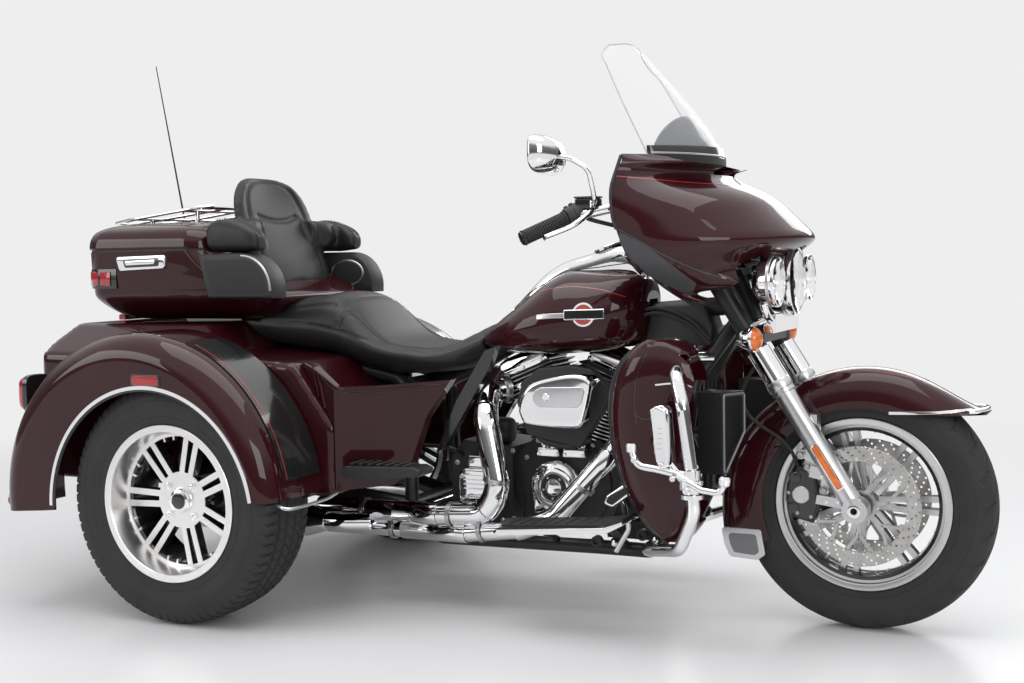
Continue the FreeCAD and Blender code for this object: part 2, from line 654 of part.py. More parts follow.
def hinge(name, at, axis, straps):
    """Two fixed knuckles on a pin with a moving one between them, each with its strap to what it holds.

    A strap is (low corner, high corner) of a block from the hinge's centre, without its width along the axis.
    """
    along = Vector(*axis)
    centre = Vector(*at)
    width = 30
    pin = solid(name + "_pin", Part.makeCylinder(size("hinge_pin_radius"), 3 * width,
                                                 centre - along * (1.5 * width), along))
    bore = solid(name + "_bore", Part.makeCylinder(size("hinge_pin_radius + running_gap"), width + 20,
                                                   centre - along * (width / 2 + 10), along))

    def knuckle(label, start, strap, length):
        low, high = strap
        foot = centre + along * start
        side = [Vector(*low) + foot, Vector(*high) + foot + along * length]
        block = Part.makeBox(side[1].x - side[0].x, side[1].y - side[0].y, side[1].z - side[0].z, side[0])
        round_end = Part.makeCylinder(size("hinge_radius"), length, foot, along)
        return fuse(name + label, [solid(name + label + "_end", round_end),
                                   solid(name + label + "_strap", block)])
    gap = size("seat_gap")
    fixed = [knuckle("_knuckle_a", -1.5 * width, straps[0], width - gap),
             knuckle("_knuckle_b", width / 2 + gap, straps[0], width - gap)]
    moving = cut(name + "_moving", knuckle("_knuckle_m", -width / 2, straps[1], width), [bore])
    return fixed + [pin], moving


def rear_body():
    half = size("trunk_width / 2")
    low, deck = size("trunk_floor"), size("deck_level")
    rear, front = size("trunk_rear"), size("trunk_front")
    side = prism("trunk_side", [(rear + 40, low), (rear, low + 120), (rear, deck - 60), (rear + 34, deck),
                                (-110, deck),
                                (-10, 700), (250, 678), (front, 512), (front, low)], -half, half)
    points = [Vector(rear - 50, y, z) for y, z in ((-half, low), (-half, 690),
                                                   (-size("deck_width / 2"), deck + 1),
                                                    (size("deck_width / 2"), deck + 1), (half, 690),
                                                    (half, low))]
    section = Part.Face(Part.makePolygon(points + points[:1]))
    hull = solid("trunk_section", section.extrude(Vector(front - rear + 100, 0, 0)))
    outer = common("trunk_outer", side, hull)
    wall = size("trunk_wall")
    room_front = 36
    room = box("trunk_room", room_front - rear - wall - 6, "trunk_width - 2 * trunk_wall",
               "670 - trunk_room_floor",
               (rear + wall + 6, "-trunk_width / 2 + trunk_wall", "trunk_room_floor"))
    tunnel = box("axle_tunnel", 240, "trunk_width + 20", "trunk_room_floor - trunk_floor - trunk_wall + 10",
                 (-120, "-trunk_width / 2 - 10", "trunk_floor - 10"))
    door_way = box("door_way", 120, "door_width", "door_high - door_low",
                   (rear - 50, "-door_width / 2", "door_low"))
    front_room = prism("front_room", [(room_front + wall, low - 10), (room_front + wall, 655), (236, 640),
                                      (front - wall, 500),
                                      (front - wall, low - 10)], wall - half, half - wall)
    frame_way = prism("frame_way", [(front - wall - 10, low - 10), (front - wall - 10, 560), (front + 10, 560),
                                    (front + 10, low - 10)], -180, 180)
    fixed, moving = [], []
    for name, y in (("door_hinge_right", -180), ("door_hinge_left", 180)):
        held, swings = hinge(name, (rear - 10, y, size("door_low") - 4), (0, 1, 0),
                             (((0, 0, -14), (18, 0, -4)), ((-2, 0, 6), (12, 0, 22))))
        fixed += held
        moving.append(swings)
    node("rear_body", [cut("trunk_shell", outer, [room, door_way, tunnel, front_room, frame_way])] + fixed)
    gap = size("moving_gap")
    panel = box("door_blank", "door_thickness", "door_width - 2 * moving_gap",
                "door_high - door_low - 2 * moving_gap",
                (rear, "-door_width / 2 + moving_gap", "door_low + moving_gap"))
    handle = box("door_handle", 14, 120, 26, (rear - 14, -60, size("door_high") - gap - 60))
    node("trunk_door", [panel, handle] + moving)


def rear_fenders():
    centre = Vector(size("rear_fender_centre_x"), 0, size("rear_fender_centre_z"))
    inner, outer = size("trunk_width / 2 + seat_gap"), size("body_width / 2")
    radius = size("rear_fender_radius")
    wall = size("rear_fender_wall")
    drum = solid("fender_drum", Part.makeCylinder(radius, outer - inner, Vector(centre.x, -inner, centre.z),
                                                  Vector(0, -1, 0)))
    rolled = softened("fender_rolled", drum, "rear_fender_roll",
                      lambda edge: abs(edge.CenterOfMass.y + outer) < 1)
    hollow = solid("fender_hollow_drum", Part.makeCylinder(radius - wall, outer - inner - wall + 50,
                                                           Vector(centre.x, -inner + 50, centre.z),
                                                           Vector(0, -1, 0)))
    rolled_hollow = softened("fender_hollow", hollow, "rear_fender_roll - rear_fender_wall",
                             lambda edge: abs(edge.CenterOfMass.y + outer - wall) < 1)
    arch = cylinder("fender_arch", "arch_radius", 200, ("arch_centre_x", -outer - 20, "arch_centre_z"),
                    (0, 1, 0))
    below = prism("fender_below", [(-700, 262), (-400, 286), (200, 345), (500, 345), (500, -300),
                                   (-700, -300)], -outer - 20, 0)
    shell = cut("rear_fender_right", rolled, [rolled_hollow, arch, below])
    node("rear_fenders", both(shell), joined=False)
    skin = radius + size("seat_gap")
    plate = solid("guard_plate", Part.makeCylinder(skin + 3, 165, Vector(centre.x, -inner - 8, centre.z),
                                                   Vector(0, -1, 0)))
    core = solid("guard_core", Part.makeCylinder(skin, 300, Vector(centre.x, -inner + 50, centre.z),
                                                 Vector(0, -1, 0)))
    keep = prism("guard_reach", [(centre.x, centre.z), (centre.x + 600, centre.z + 100),
                                 (centre.x + 600, centre.z + 900),
                                 (centre.x + 210, centre.z + 600)], -outer, 0)
    guard = common("stone_guard_right", cut("guard_band", plate, [core]), keep)
    node("stone_guards", both(guard), joined=False)


def side_covers():
    face = prism("side_cover_face", [(376, 345), (376, 512), (252, 678), (300, 668), (373, 619), (450, 614),
                                     (596, 620),
                                     (545, 520), (520, 420), (505, 366), (480, 345)], -460, -150)
    band = upright("side_cover_band", [(240, -402), (376, -441), (396, -436), (455, -352), (540, -256),
                                       (612, -184),
                                       (600, -162), (524, -236), (436, -332), (382, -408), (240, -374)], 300,
                                       720)
    cover = cut("side_cover_right", common("side_cover_blank", face, band), [doc.getObject("trunk_outer")])
    node("side_covers", both(cover), joined=False)


def deflectors():
    y = -150
    blade = prism("deflector_blade", [(725, 712), (700, 650), (560, 428), (535, 418), (600, 560), (690, 700)],
                  y - 28, y)
    stay = straight_tube("deflector_stay", (556, y - 4, 430), (582, -100, 400), 6)
    pair = both(fuse("deflector_joined", [blade, stay]))
    node("deflectors", [cut("deflector_%d" % n, half, [nodes_base("crankcase")]) for n,
                        half in enumerate(pair)], joined=False)


def tail_lamps():
    rear = size("rear_fender_centre_x - rear_fender_radius")
    lamp_blank = box("tail_lamp_blank", 70, 90, 110, (rear + 8, -610, 535))
    lamps = softened("tail_lamp_right", lamp_blank, "14")
    seated = cut("tail_lamp_seated", lamps, [solid("tail_lamp_seat", Part.makeCylinder(
        size("rear_fender_radius + seat_gap"), 400, Vector(size("rear_fender_centre_x"), -700,
                                                           size("rear_fender_centre_z")),
        Vector(0, 1, 0)))])
    marker = box("side_marker", 92, 3, 28, (-80, "-body_width / 2 - 3 - seat_gap", 634))
    strip = box("deck_lamp", 26, 300, 18, (-590, -150, "deck_level + seat_gap"))
    node("tail_lamps", both(seated) + both(marker) + [strip], joined=False)


# Luggage box

def top_box():
    floor, belt, rim = size("box_floor"), size("box_belt"), size("box_rim")
    rear, front, half, wall = size("box_rear"), size("box_front"), size("box_width / 2"), size("box_wall")
    outer = tray([(rear + 62, 0, half * 0.6, floor), (rear + 8, 62, half - 10, belt),
                  (rear, front, half, rim)], 70)
    inner = tray([(rear + 62 + wall, -wall, half * 0.6 - wall, floor + wall),
                  (rear + 8 + wall, 62 - wall - 20, half - 10 - wall, belt),
                  (rear + wall, front - wall, half - wall, rim + 1)], 64)
    shell = cut("box_shell", solid("box_outer", outer), [solid("box_inner", inner)])
    foot = box("box_foot_front", 280, 220, "box_floor - deck_level + 3", (-440, -110, "deck_level + seat_gap"))
    fixed, moving = [], []
    for name, x in (("lid_hinge_rear", -480), ("lid_hinge_front", -280)):
        held, swings = hinge(name, (x, half + 12, rim + size("moving_gap") / 2), (1, 0, 0),
                             (((0, -16, -13), (0, 0, -4)), ((0, -13, 4), (0, 0, 11))))
        fixed += held
        moving.append(swings)
    node("top_box", [shell, foot] + fixed)
    base = rim + size("moving_gap")
    top = base + size("lid_height")
    lid = tray([(rear - 2, front, half + 2, base), (rear + 4, front - 6, half - 3, base + 34),
                (rear + 30, front - 40, half - 40, top - 10), (rear + 90, front - 90, half - 100, top)], 70)
    hollow = tray([(rear - 2 + wall, front - wall, half + 2 - wall, base - 1),
                   (rear + 4 + wall, front - 6 - wall, half - 3 - wall, base + 34 - wall),
                   (rear + 30 + wall, front - 40 - wall, half - 44 - wall, top - 10 - wall)], 64)
    notch = box("lid_notch", 200, "backrest_width + 2 * moving_gap", 300,
                (front - 62, "-backrest_width / 2 - moving_gap", base - 50))
    node("top_box_lid", [cut("lid_shell", solid("lid_outer", lid),
                             [solid("lid_hollow", hollow), notch])] + moving)


def luggage_rack():
    level = size("box_rim + moving_gap + lid_height") + 6
    rear = size("box_rear")
    radius = 5.5
    rails = []
    for sign in (-1, 1):
        rails.append(bent_tube("rack_outer_%d" % sign, [
            (-215, sign * 150, level + 40), (-250, sign * 190, level + 34), (-480, sign * 196, level + 6),
            (rear - 18, sign * 120, level - 4), (rear - 34, 0, level - 4)], radius, 60))
    inner = [bent_tube("rack_inner_%d" % sign, [(-240, sign * 60, level + 35), (-480, sign * 70, level + 6),
                                               (rear - 28, sign * 60, level - 4)], radius, 60) for sign in (-1,
                                                   1)]
    cross = [straight_tube("rack_cross_%d" % n, (x, -y, h), (x, y, h), radius)
             for n, (x, y, h) in enumerate(((-300, 188, level + 28), (-470, 194, level + 7)))]
    posts = [cylinder("rack_post_%d_%d" % (n, sign), 7, height,
                      (x, sign * 120, "box_rim + moving_gap + lid_height - 16"))
             for sign in (-1, 1) for n, (x, height) in enumerate(((-300, 50), (-470, 29)))]
    bar = straight_tube("rack_cross_mid", (-240, -180, level + 35), (-240, 180, level + 35), radius)
    lid = doc.getObject("lid_shell")
    node("luggage_rack", [cut("rack_seated", fuse("rack_blank", rails + inner + cross + posts + [bar]), [lid])])


def speaker_pods():
    outer = size("box_width / 2")
    pod = prism("pod_blank", [(-128, 846), (-160, 974), (8, 974), (60, 950), (98, 880), (96, 846)],
                -outer - 16, -outer + 66)
    soft = softened("pod_soft", pod, "12", lambda edge: edge.CenterOfMass.y < -outer - 15)
    node("speaker_pods", both(cut("speaker_pod_right", soft, [doc.getObject("box_outer")])), joined=False)


def backrest():
    half, top = size("backrest_width / 2"), size("backrest_top")
    pad = Part.makeLoft([smooth_ring([(x0 + dx, y, z) for y, dx in rounded_pad(half_here, depth)]) for x0,
                         half_here, depth, z in (
        (-8, half + 30, 60, 862), (-30, half + 34, 62, 950), (-78, half + 6, 62, 1040),
        (-120, half - 22, 58, 1130),
        (-142, half - 50, 50, 1190), (-150, half - 82, 30, top))], True, False)
    arms = []
    for sign in (-1, 1):
        rings = [smooth_ring([(x, sign * 262 + y, z) for y,
                              z in oval(w, low, (low + high) / 2, high, 2.6, 2.6)])
                 for x, w, low, high in ((-140, 34, 985, 1040), (-100, 38, 978, size("armrest_level")),
                                         (-20, 38, 976, 1030),
                                         (40, 34, 976, 1005), (58, 18, 980, 994))]
        arms.append(solid("armrest_%d" % sign, Part.makeLoft(rings, True, False)))
        rings = [smooth_ring([(x, y, z) for x, z in wing]) for y, wing in (
            (sign * 150, oval_at(-30, 905, 68, 62)), (sign * 215, oval_at(-12, 915, 72, 58)),
            (sign * 292, oval_at(-20, 1004, 60, 26)))]
        arms.append(solid("wing_%d" % sign, Part.makeLoft(rings, True, False)))
    lid_side = box("backrest_keep", 400, 800, 600, ("box_front - 62 + moving_gap", -400, 840))
    blank = fuse("backrest_blank", [solid("backrest_pad", pad)] + arms)
    trimmed = common("backrest_trim", blank, lid_side)
    node("backrest", [cut("backrest_seated", trimmed, [doc.getObject("box_outer"), doc.getObject("lid_outer"),
                                                        doc.getObject("pod_soft"),
                                                        mirrored(doc.getObject("pod_soft"))])])


def oval_at(x, z, half_x, half_z, count=16):
    return [(x + half_x * math.cos(2 * math.pi * n / count), z + half_z * math.sin(2 * math.pi * n / count))
            for n in range(count)]


def rounded_pad(half, depth, count=20):
    """Points (across, along) of a pad's level section: flat-sided, with round ends."""
    points = []
    for step in range(count):
        angle = 2 * math.pi * (step + 0.5) / count
        c, s = math.cos(angle), math.sin(angle)
        points.append((half * math.copysign(abs(c) ** 0.75, c), depth * math.copysign(abs(s) ** 0.8, s)))
    return points


def antenna():
    foot = Vector(-612, 262, 880)
    tip = Vector(-742, 250, 1610)
    mast = solid("antenna_mast", Part.makeCone(4, 1.6, (tip - foot).Length, foot, tip - foot))
    stem = solid("antenna_spring", Part.makeCylinder(9, 60, foot, tip - foot))
    arm = box("antenna_arm", 60, 30, 14, (-640, 246, 868))
    node("antenna", [cut("antenna_seated", fuse("antenna_blank", [mast, stem, arm]),
                         [doc.getObject("box_outer")])])


# Seat and tank

def seat():
    half = size("seat_width / 2")
    rear, nose, low = size("seat_rear"), size("seat_nose"), size("seat_low")
    top = size("pillion_level")
    stations = [(rear, half * 0.6, 735, 770, 800), (rear + 15, half * 0.8, 722, 770, 830),
                (0, half * 0.92, 704, 765, top - 2),
                (110, half * 0.95, 690, 760, top), (215, half * 0.98, 672, 750, top + 2),
                (262, half, 655, 735, 815),
                (330, half * 1.02, 636, 710, 745), (420, half * 1.02, 628, 690, 708),
                (500, half * 0.94, 632, 680, low),
                (575, half * 0.72, 640, 690, 722), (640, half * 0.42, 668, 715, 764),
                (nose, half * 0.24, 745, 768, 795)]
    form = solid("seat_form", loft_along_x(stations, 2.6, 3.2))
    seated = cut("seat_seated", form, [doc.getObject("tank_form"), doc.getObject("trunk_side"),
                                       nodes_base("frame"),
                                       nodes_base("side_covers"), nodes_base("deflectors"),
                                       doc.getObject("box_outer"),
                                       doc.getObject("backrest_pad")])
    node("seat", [seated])


def fuel_tank():
    half = size("tank_width / 2")
    rear, front, top, bottom = size("tank_rear"), size("tank_front"), size("tank_top"), size("tank_bottom")
    stations = [(rear, 34, 702, 716, 728), (rear + 30, half * 0.45, bottom + 6, 722, 752),
                (rear + 100, half * 0.78, bottom - 4, 738, 800),
                (rear + 190, half * 0.96, bottom - 6, 758, 868), (rear + 270, half, bottom - 6, 775, top - 4),
                (rear + 370, half * 0.97, bottom, 790, top),
                (rear + 450, half * 0.82, bottom + 12, 808, top - 4),
                (front - 12, half * 0.52, bottom + 40, 822, top - 22),
                (front, half * 0.3, bottom + 80, 828, top - 60)]
    form = solid("tank_form", loft_along_x(stations, 2.1, 3.0))
    spine = [(x, z + 36) for x, y, z in backbone_points()[:-1]]
    half_tunnel = size("tube_radius + 14")
    tunnel = prism("tank_tunnel", spine + [(spine[-1][0], 540), (spine[0][0], 540)], -half_tunnel, half_tunnel)
    engine_room = box("tank_engine_room", 425, 172, 130, (690, -86, 594))
    ridge = [(640, 747), (710, 795), (800, 863), (880, top - 10), (980, top - 6), (1060, top - 10),
             (1104, top - 30)]
    console_seat = prism("console_recess", ridge + [(1104, top + 60), (640, top + 60)], -46, 46)
    node("fuel_tank", [cut("tank_seated", form, [tunnel, engine_room, console_seat])])
    console = loft_along_x([(700, 16, 760, 800, 812), (760, 34, 800, 838, 862), (880, 44, 860, 905, 940),
                            (960, 46, 880, 925, 962),
                            (1020, 44, 885, 935, 978), (1060, 34, 885, 925, 962), (1085, 16, 880, 905, 925)],
                            2.6, 3.0)
    raised = [(x, z + size("seat_gap")) for x, z in ridge]
    above = prism("console_keep", raised + [(1104, top + 90), (640, top + 90)], -60, 60)
    node("tank_console", [common("console_seated", solid("console_form", console), above)])


# Lower body front

def lower_fairings():
    levels = [(1205, 1275, -350, -250, 746), (1160, 1326, -372, -232, 712), (1112, 1364, -378, -222, 600),
              (1126, 1366, -374, -222, 430), (1185, 1335, -352, -226, 300), (1232, 1292, -318, -250, 248)]

    def rings(inset, shift):
        made = []
        for rear, front, outer, inner, level in levels:
            cx, cy = (rear + front) / 2, (outer + inner) / 2
            hx, hy = (front - rear) / 2 - inset, (inner - outer) / 2 - inset
            made.append(smooth_ring([(cx + shift + hx * math.copysign(abs(math.cos(t)) ** 0.7, math.cos(t)),
                                      cy + hy * math.copysign(abs(math.sin(t)) ** 0.7, math.sin(t)), level)
                                     for t in [2 * math.pi * (n + 0.5) / 16 for n in range(16)]]))
        return made
    outer = solid("lower_outer", Part.makeLoft(rings(0, 0), True, False))
    inner = solid("lower_inner", Part.makeLoft(rings(7, 24)[1:5], True, False))
    guard_room = doc.getObject("guard_clearance_right")
    node("lower_fairings", both(cut("lower_fairing_right", outer,
                                    [inner, guard_room, solid("radiator_room", Part.makeBox(
        120, 60, 300, Vector(1290, -262, 340)))])), joined=False)


GUARD_POINTS = [(1282, -56, 682), (1262, -190, 694), (1300, -395, 672), (1326, -420, 600), (1346, -420, 446),
                (1352, -418, 340), (1300, -370, 240), (1170, -240, 205), (1150, -150, 196)]


def engine_guard():
    reach = size("guard_reach") / 420
    points = [(x, y * reach if y < -200 else y, z) for x, y, z in GUARD_POINTS]
    loop = bent_tube("engine_guard_right", points, "guard_tube_radius", 70)
    bent_tube("guard_clearance_right", points, "guard_tube_radius + 1", 70)
    frame_copy = nodes_base("frame")
    node("engine_guard", both(cut("guard_seated", loop, [frame_copy])), joined=False)


def highway_pegs():
    clamp = cylinder("peg_clamp_blank", "guard_tube_radius + 10", 46, (1343, -420, 400))
    bore = cylinder("peg_clamp_bore", "guard_tube_radius + seat_gap", 80, (1343, -420, 380))
    arm = bent_tube("peg_arm", [(1343, -440, 425), (1320, -452, 440), (1270, -456, 450), (1225, -456, 455),
                                (1212, -456, 492)], 9, 30)
    front_arm = bent_tube("peg_front_arm", [(1345, -442, 420), (1380, -450, 405), (1425, -452, 400),
                                            (1436, -452, 425)], 8, 20)
    pad = prism("peg_pad_blank", [(1278, 600), (1262, 590), (1276, 470), (1290, 452), (1308, 458),
                                  (1300, 590)], -470, -410)
    pad_soft = softened("peg_pad", pad, "5")
    strut = straight_tube("peg_strut", (1292, -440, 470), (1330, -440, 425), 9)
    clearance = doc.getObject("guard_clearance_right")
    node("highway_pegs", both(cut("highway_peg_right", fuse("peg_blank",
                                                            [clamp, arm, front_arm, pad_soft, strut]),
                                                            [bore, clearance])),
         joined=False)


def fender_sweep():
    """The room that the front fender and the fork take as they steer, as (along the axis, reach from it)."""
    reach = [(300, 332), (340, 330), (400, 321), (460, 301), (520, 270), (560, 240), (600, 198), (629, 156),
             (760, 156)]
    gap = size("moving_gap")
    profile = [(reach[0][0], 0)] + [(along, radius + gap) for along, radius in reach] + [(reach[-1][0], 0)]
    return turned("fender_sweep", profile, (steering_axis_x(0), 0, 0), tuple(steering_direction()))


def radiators():
    low, high = 404, 608
    outer_y, inner_y, wall = -220, -144, 7
    rear_x, outer_x, inner_x = 1300, 1361, 1399

    def plan(side, set_back, depth):
        """The core's outline from above, with its toed-in front set back and its sides set in."""
        slope = (inner_x - outer_x) / (inner_y - outer_y)
        points = [(outer_x + slope * side - set_back, outer_y + side),
                  (inner_x - slope * side - set_back, inner_y - side)]
        return points + [(x - depth, y) for x, y in reversed(points)]
    body = upright("radiator_body", [(rear_x, outer_y), (outer_x, outer_y), (inner_x, inner_y),
                                     (rear_x, inner_y)], low, high)
    room = upright("radiator_recess", plan(wall, -30, 54), low + 14, high - 14)
    slats = [upright("radiator_slat_%d" % n, plan(wall - 1, 12, 5), low + 22 + n * 14.5, low + 28 + n * 14.5)
             for n in range(11)]
    arm = straight_tube("radiator_arm", (rear_x + 5, -160, 500), (1231, -94, 500), 10)
    whole = fuse("radiator_blank", [cut("radiator_frame", body, [room]), arm] + slats)
    node("radiators", both(cut("radiator_right", whole, [nodes_base("frame"), fender_sweep()])), joined=False)


def floorboards():
    board = prism("rider_board_blank", [(828, 268), (812, 258), (812, 252), (830, 254), (1120, 272),
                                        (1165, 300), (1162, 312),
                                        (1112, 288)], -392, -262)
    support = straight_tube("board_support_rear", (880, -280, 250), (880, -140, 192), 9)
    support_front = straight_tube("board_support_front", (1080, -280, 266), (1080, -140, 192), 9)
    blank = fuse("rider_board_joined", [board, support, support_front])
    node("floorboards", both(cut("floorboard_right", blank,
                                 [nodes_base("frame"), nodes_base("exhaust_pipes")])), joined=False)
    pad = prism("pillion_board_blank", [(400, 398), (420, 414), (622, 420), (642, 412), (636, 396), (470, 380),
                                        (412, 384)], -462, -384)
    soft = softened("pillion_board_soft", pad, "6")
    bracket = straight_tube("pillion_bracket", (526, -396, 400), (495, -287, 372), 11)
    node("pillion_boards", both(cut("pillion_board_right", fuse("pillion_joined", [soft, bracket]),
                                    [nodes_base("frame"), nodes_base("side_covers"), nodes_base("crankcase"),
                                     nodes_base("exhaust_pipes")])), joined=False)


# Front end

def yokes():
    direction = steering_direction()
    half = size("fork_spacing / 2")
    parts = []
    for name, level in (("lower", size("lower_yoke_level")), ("upper", size("upper_yoke_level"))):
        plates = []
        x_axis, x_fork = steering_axis_x(level), fork_x(level)
        plates.append(box("yoke_bar_" + name, 62, 2 * half, 24, (min(x_axis, x_fork) - 28, -half, level - 12)))
        plates += [cylinder("yoke_eye_%s_%d" % (name, s), 37, 24, (x_fork, s * half, level - 12)) for s in (-1,
            1)]
        parts.append(fuse("yoke_" + name, plates))
    low = Vector(steering_axis_x(size("lower_yoke_level")), 0, size("lower_yoke_level"))
    length = (size("upper_yoke_level") - size("lower_yoke_level")) / direction.z
    stem = solid("steering_stem", Part.makeCylinder(size("stem_radius"), length, low, direction))
    lean = fork_direction()
    tubes = []
    bottom = size("slider_top") - 60
    for s in (-1, 1):
        start = Vector(fork_x(bottom), s * half, bottom)
        tubes.append(solid("fork_tube_%d" % s, Part.makeCylinder(size("fork_tube_radius"),
                                                                (size("upper_yoke_level") + 14 - bottom) / lean.z, start, lean)))
    node("triple_clamps", parts + [stem] + tubes)


def fork_legs():
    half = size("fork_spacing / 2")
    lean = fork_direction()
    axle = size("front_tyre_radius")
    legs = []
    for name, s in (("right", -1), ("left", 1)):
        foot = Vector(fork_x(axle), s * half, axle)
        length = (size("slider_top") - axle) / lean.z
        outer = solid("slider_" + name, Part.makeCylinder(size("fork_slider_radius"), length, foot, lean))
        inner = solid("slider_bore_" + name, Part.makeCylinder(size("fork_tube_radius + seat_gap / 4"), 400,
                                                              Vector(fork_x(size("slider_top") - 62), s * half,
                                                                     size("slider_top") - 62), lean))
        boss = cylinder("axle_clamp_" + name, 31, 52, ("wheelbase", s * half - 26, "front_tyre_radius"),
                        (0, 1, 0))
        lug_high = prism("caliper_lug_high_" + name, [(1598, 418), (1560, 424), (1556, 396), (1612, 384)],
                         min(s * 106, s * 132), max(s * 106, s * 132))
        lug_low = prism("caliper_lug_low_" + name, [(1640, 345), (1576, 352), (1572, 330), (1650, 320)],
                        min(s * 106, s * 132), max(s * 106, s * 132))
        stay_y = size("fender_width / 2 - 10")
        stay = box("fender_stay_" + name, 34, half - stay_y, 60,
                   (fork_x(500) - 17, -half if s < 0 else stay_y, 490))
        blank = fuse("slider_joined_" + name, [outer, boss, lug_high, lug_low, stay])
        axle_hole = cylinder("axle_hole_" + name, "front_axle_radius + running_gap", 120,
                             ("wheelbase", s * half - 60, "front_tyre_radius"), (0, 1, 0))
        legs.append(cut("fork_leg_" + name, blank, [inner, axle_hole, doc.getObject("fender_outer")]))
    node("fork_legs", legs, joined=False)


def fork_covers():
    half = size("fork_spacing / 2")
    lean = fork_direction()
    low = size("slider_top + seat_gap")
    high = size("lower_yoke_level - 12 - seat_gap")
    covers = []
    for name, s in (("right", -1), ("left", 1)):
        foot = Vector(fork_x(low), s * half, low)
        length = (high - low) / lean.z - 22
        outer = solid("cover_" + name, Part.makeCylinder(size("fork_cover_radius"), length, foot, lean))
        inner = solid("cover_bore_" + name, Part.makeCylinder(size("fork_tube_radius + seat_gap / 4"), 400,
                                                              foot - lean * 50, lean))
        covers.append(cut("fork_cover_" + name, outer, [inner]))
    node("fork_covers", covers, joined=False)


def front_axle():
    reach = size("fork_spacing / 2") + 30
    rod = cylinder("axle_rod", "front_axle_radius", 2 * reach, ("wheelbase", -reach, "front_tyre_radius"),
                   (0, 1, 0))
    bore = cylinder("axle_bore", "front_axle_bore", 2 * reach + 20,
                    ("wheelbase", -reach - 10, "front_tyre_radius"), (0, 1, 0))
    node("front_axle", [cut("axle_hollow", rod, [bore])])


def front_fender():
    crown = [(38.5, 384), (44, 362), (52, 349), (68, 344), (90, 342), (112, 340), (132, 343), (152, 357),
             (170, 366),
             (188, 372), (204, 380)]
    axle = Vector(size("wheelbase"), 0, size("front_tyre_radius"))
    grow = size("front_tyre_radius") - 320

    def rings(inset):
        made = []
        half = size("fender_width / 2") - inset
        for angle, radius in crown:
            out = Vector(math.cos(math.radians(angle)), 0, math.sin(math.radians(angle)))
            top = radius + grow - inset
            section = oval(half, 170, top - 70, top, 2.3, 12)
            made.append(smooth_ring([tuple(axle + out * level + Vector(0, across, 0)) for across,
                                     level in section]))
        return made
    outer = solid("fender_outer", Part.makeLoft(rings(0), True, False))
    inner = solid("fender_inner", Part.makeLoft(rings(size("fender_wall")), True, False))
    hub_side = cylinder("fender_skirt_cut", "fender_skirt_radius", 400,
                        ("wheelbase", -200, "front_tyre_radius"), (0, 1, 0))
    hem = size("fender_hem_level")
    front_side = prism("fender_hem_cut", [(1592, hem), (2200, hem + 14), (2200, 0), (1600, 0)], -200, 200)
    node("front_fender", [cut("fender_shell", outer, [inner, hub_side, front_side])])


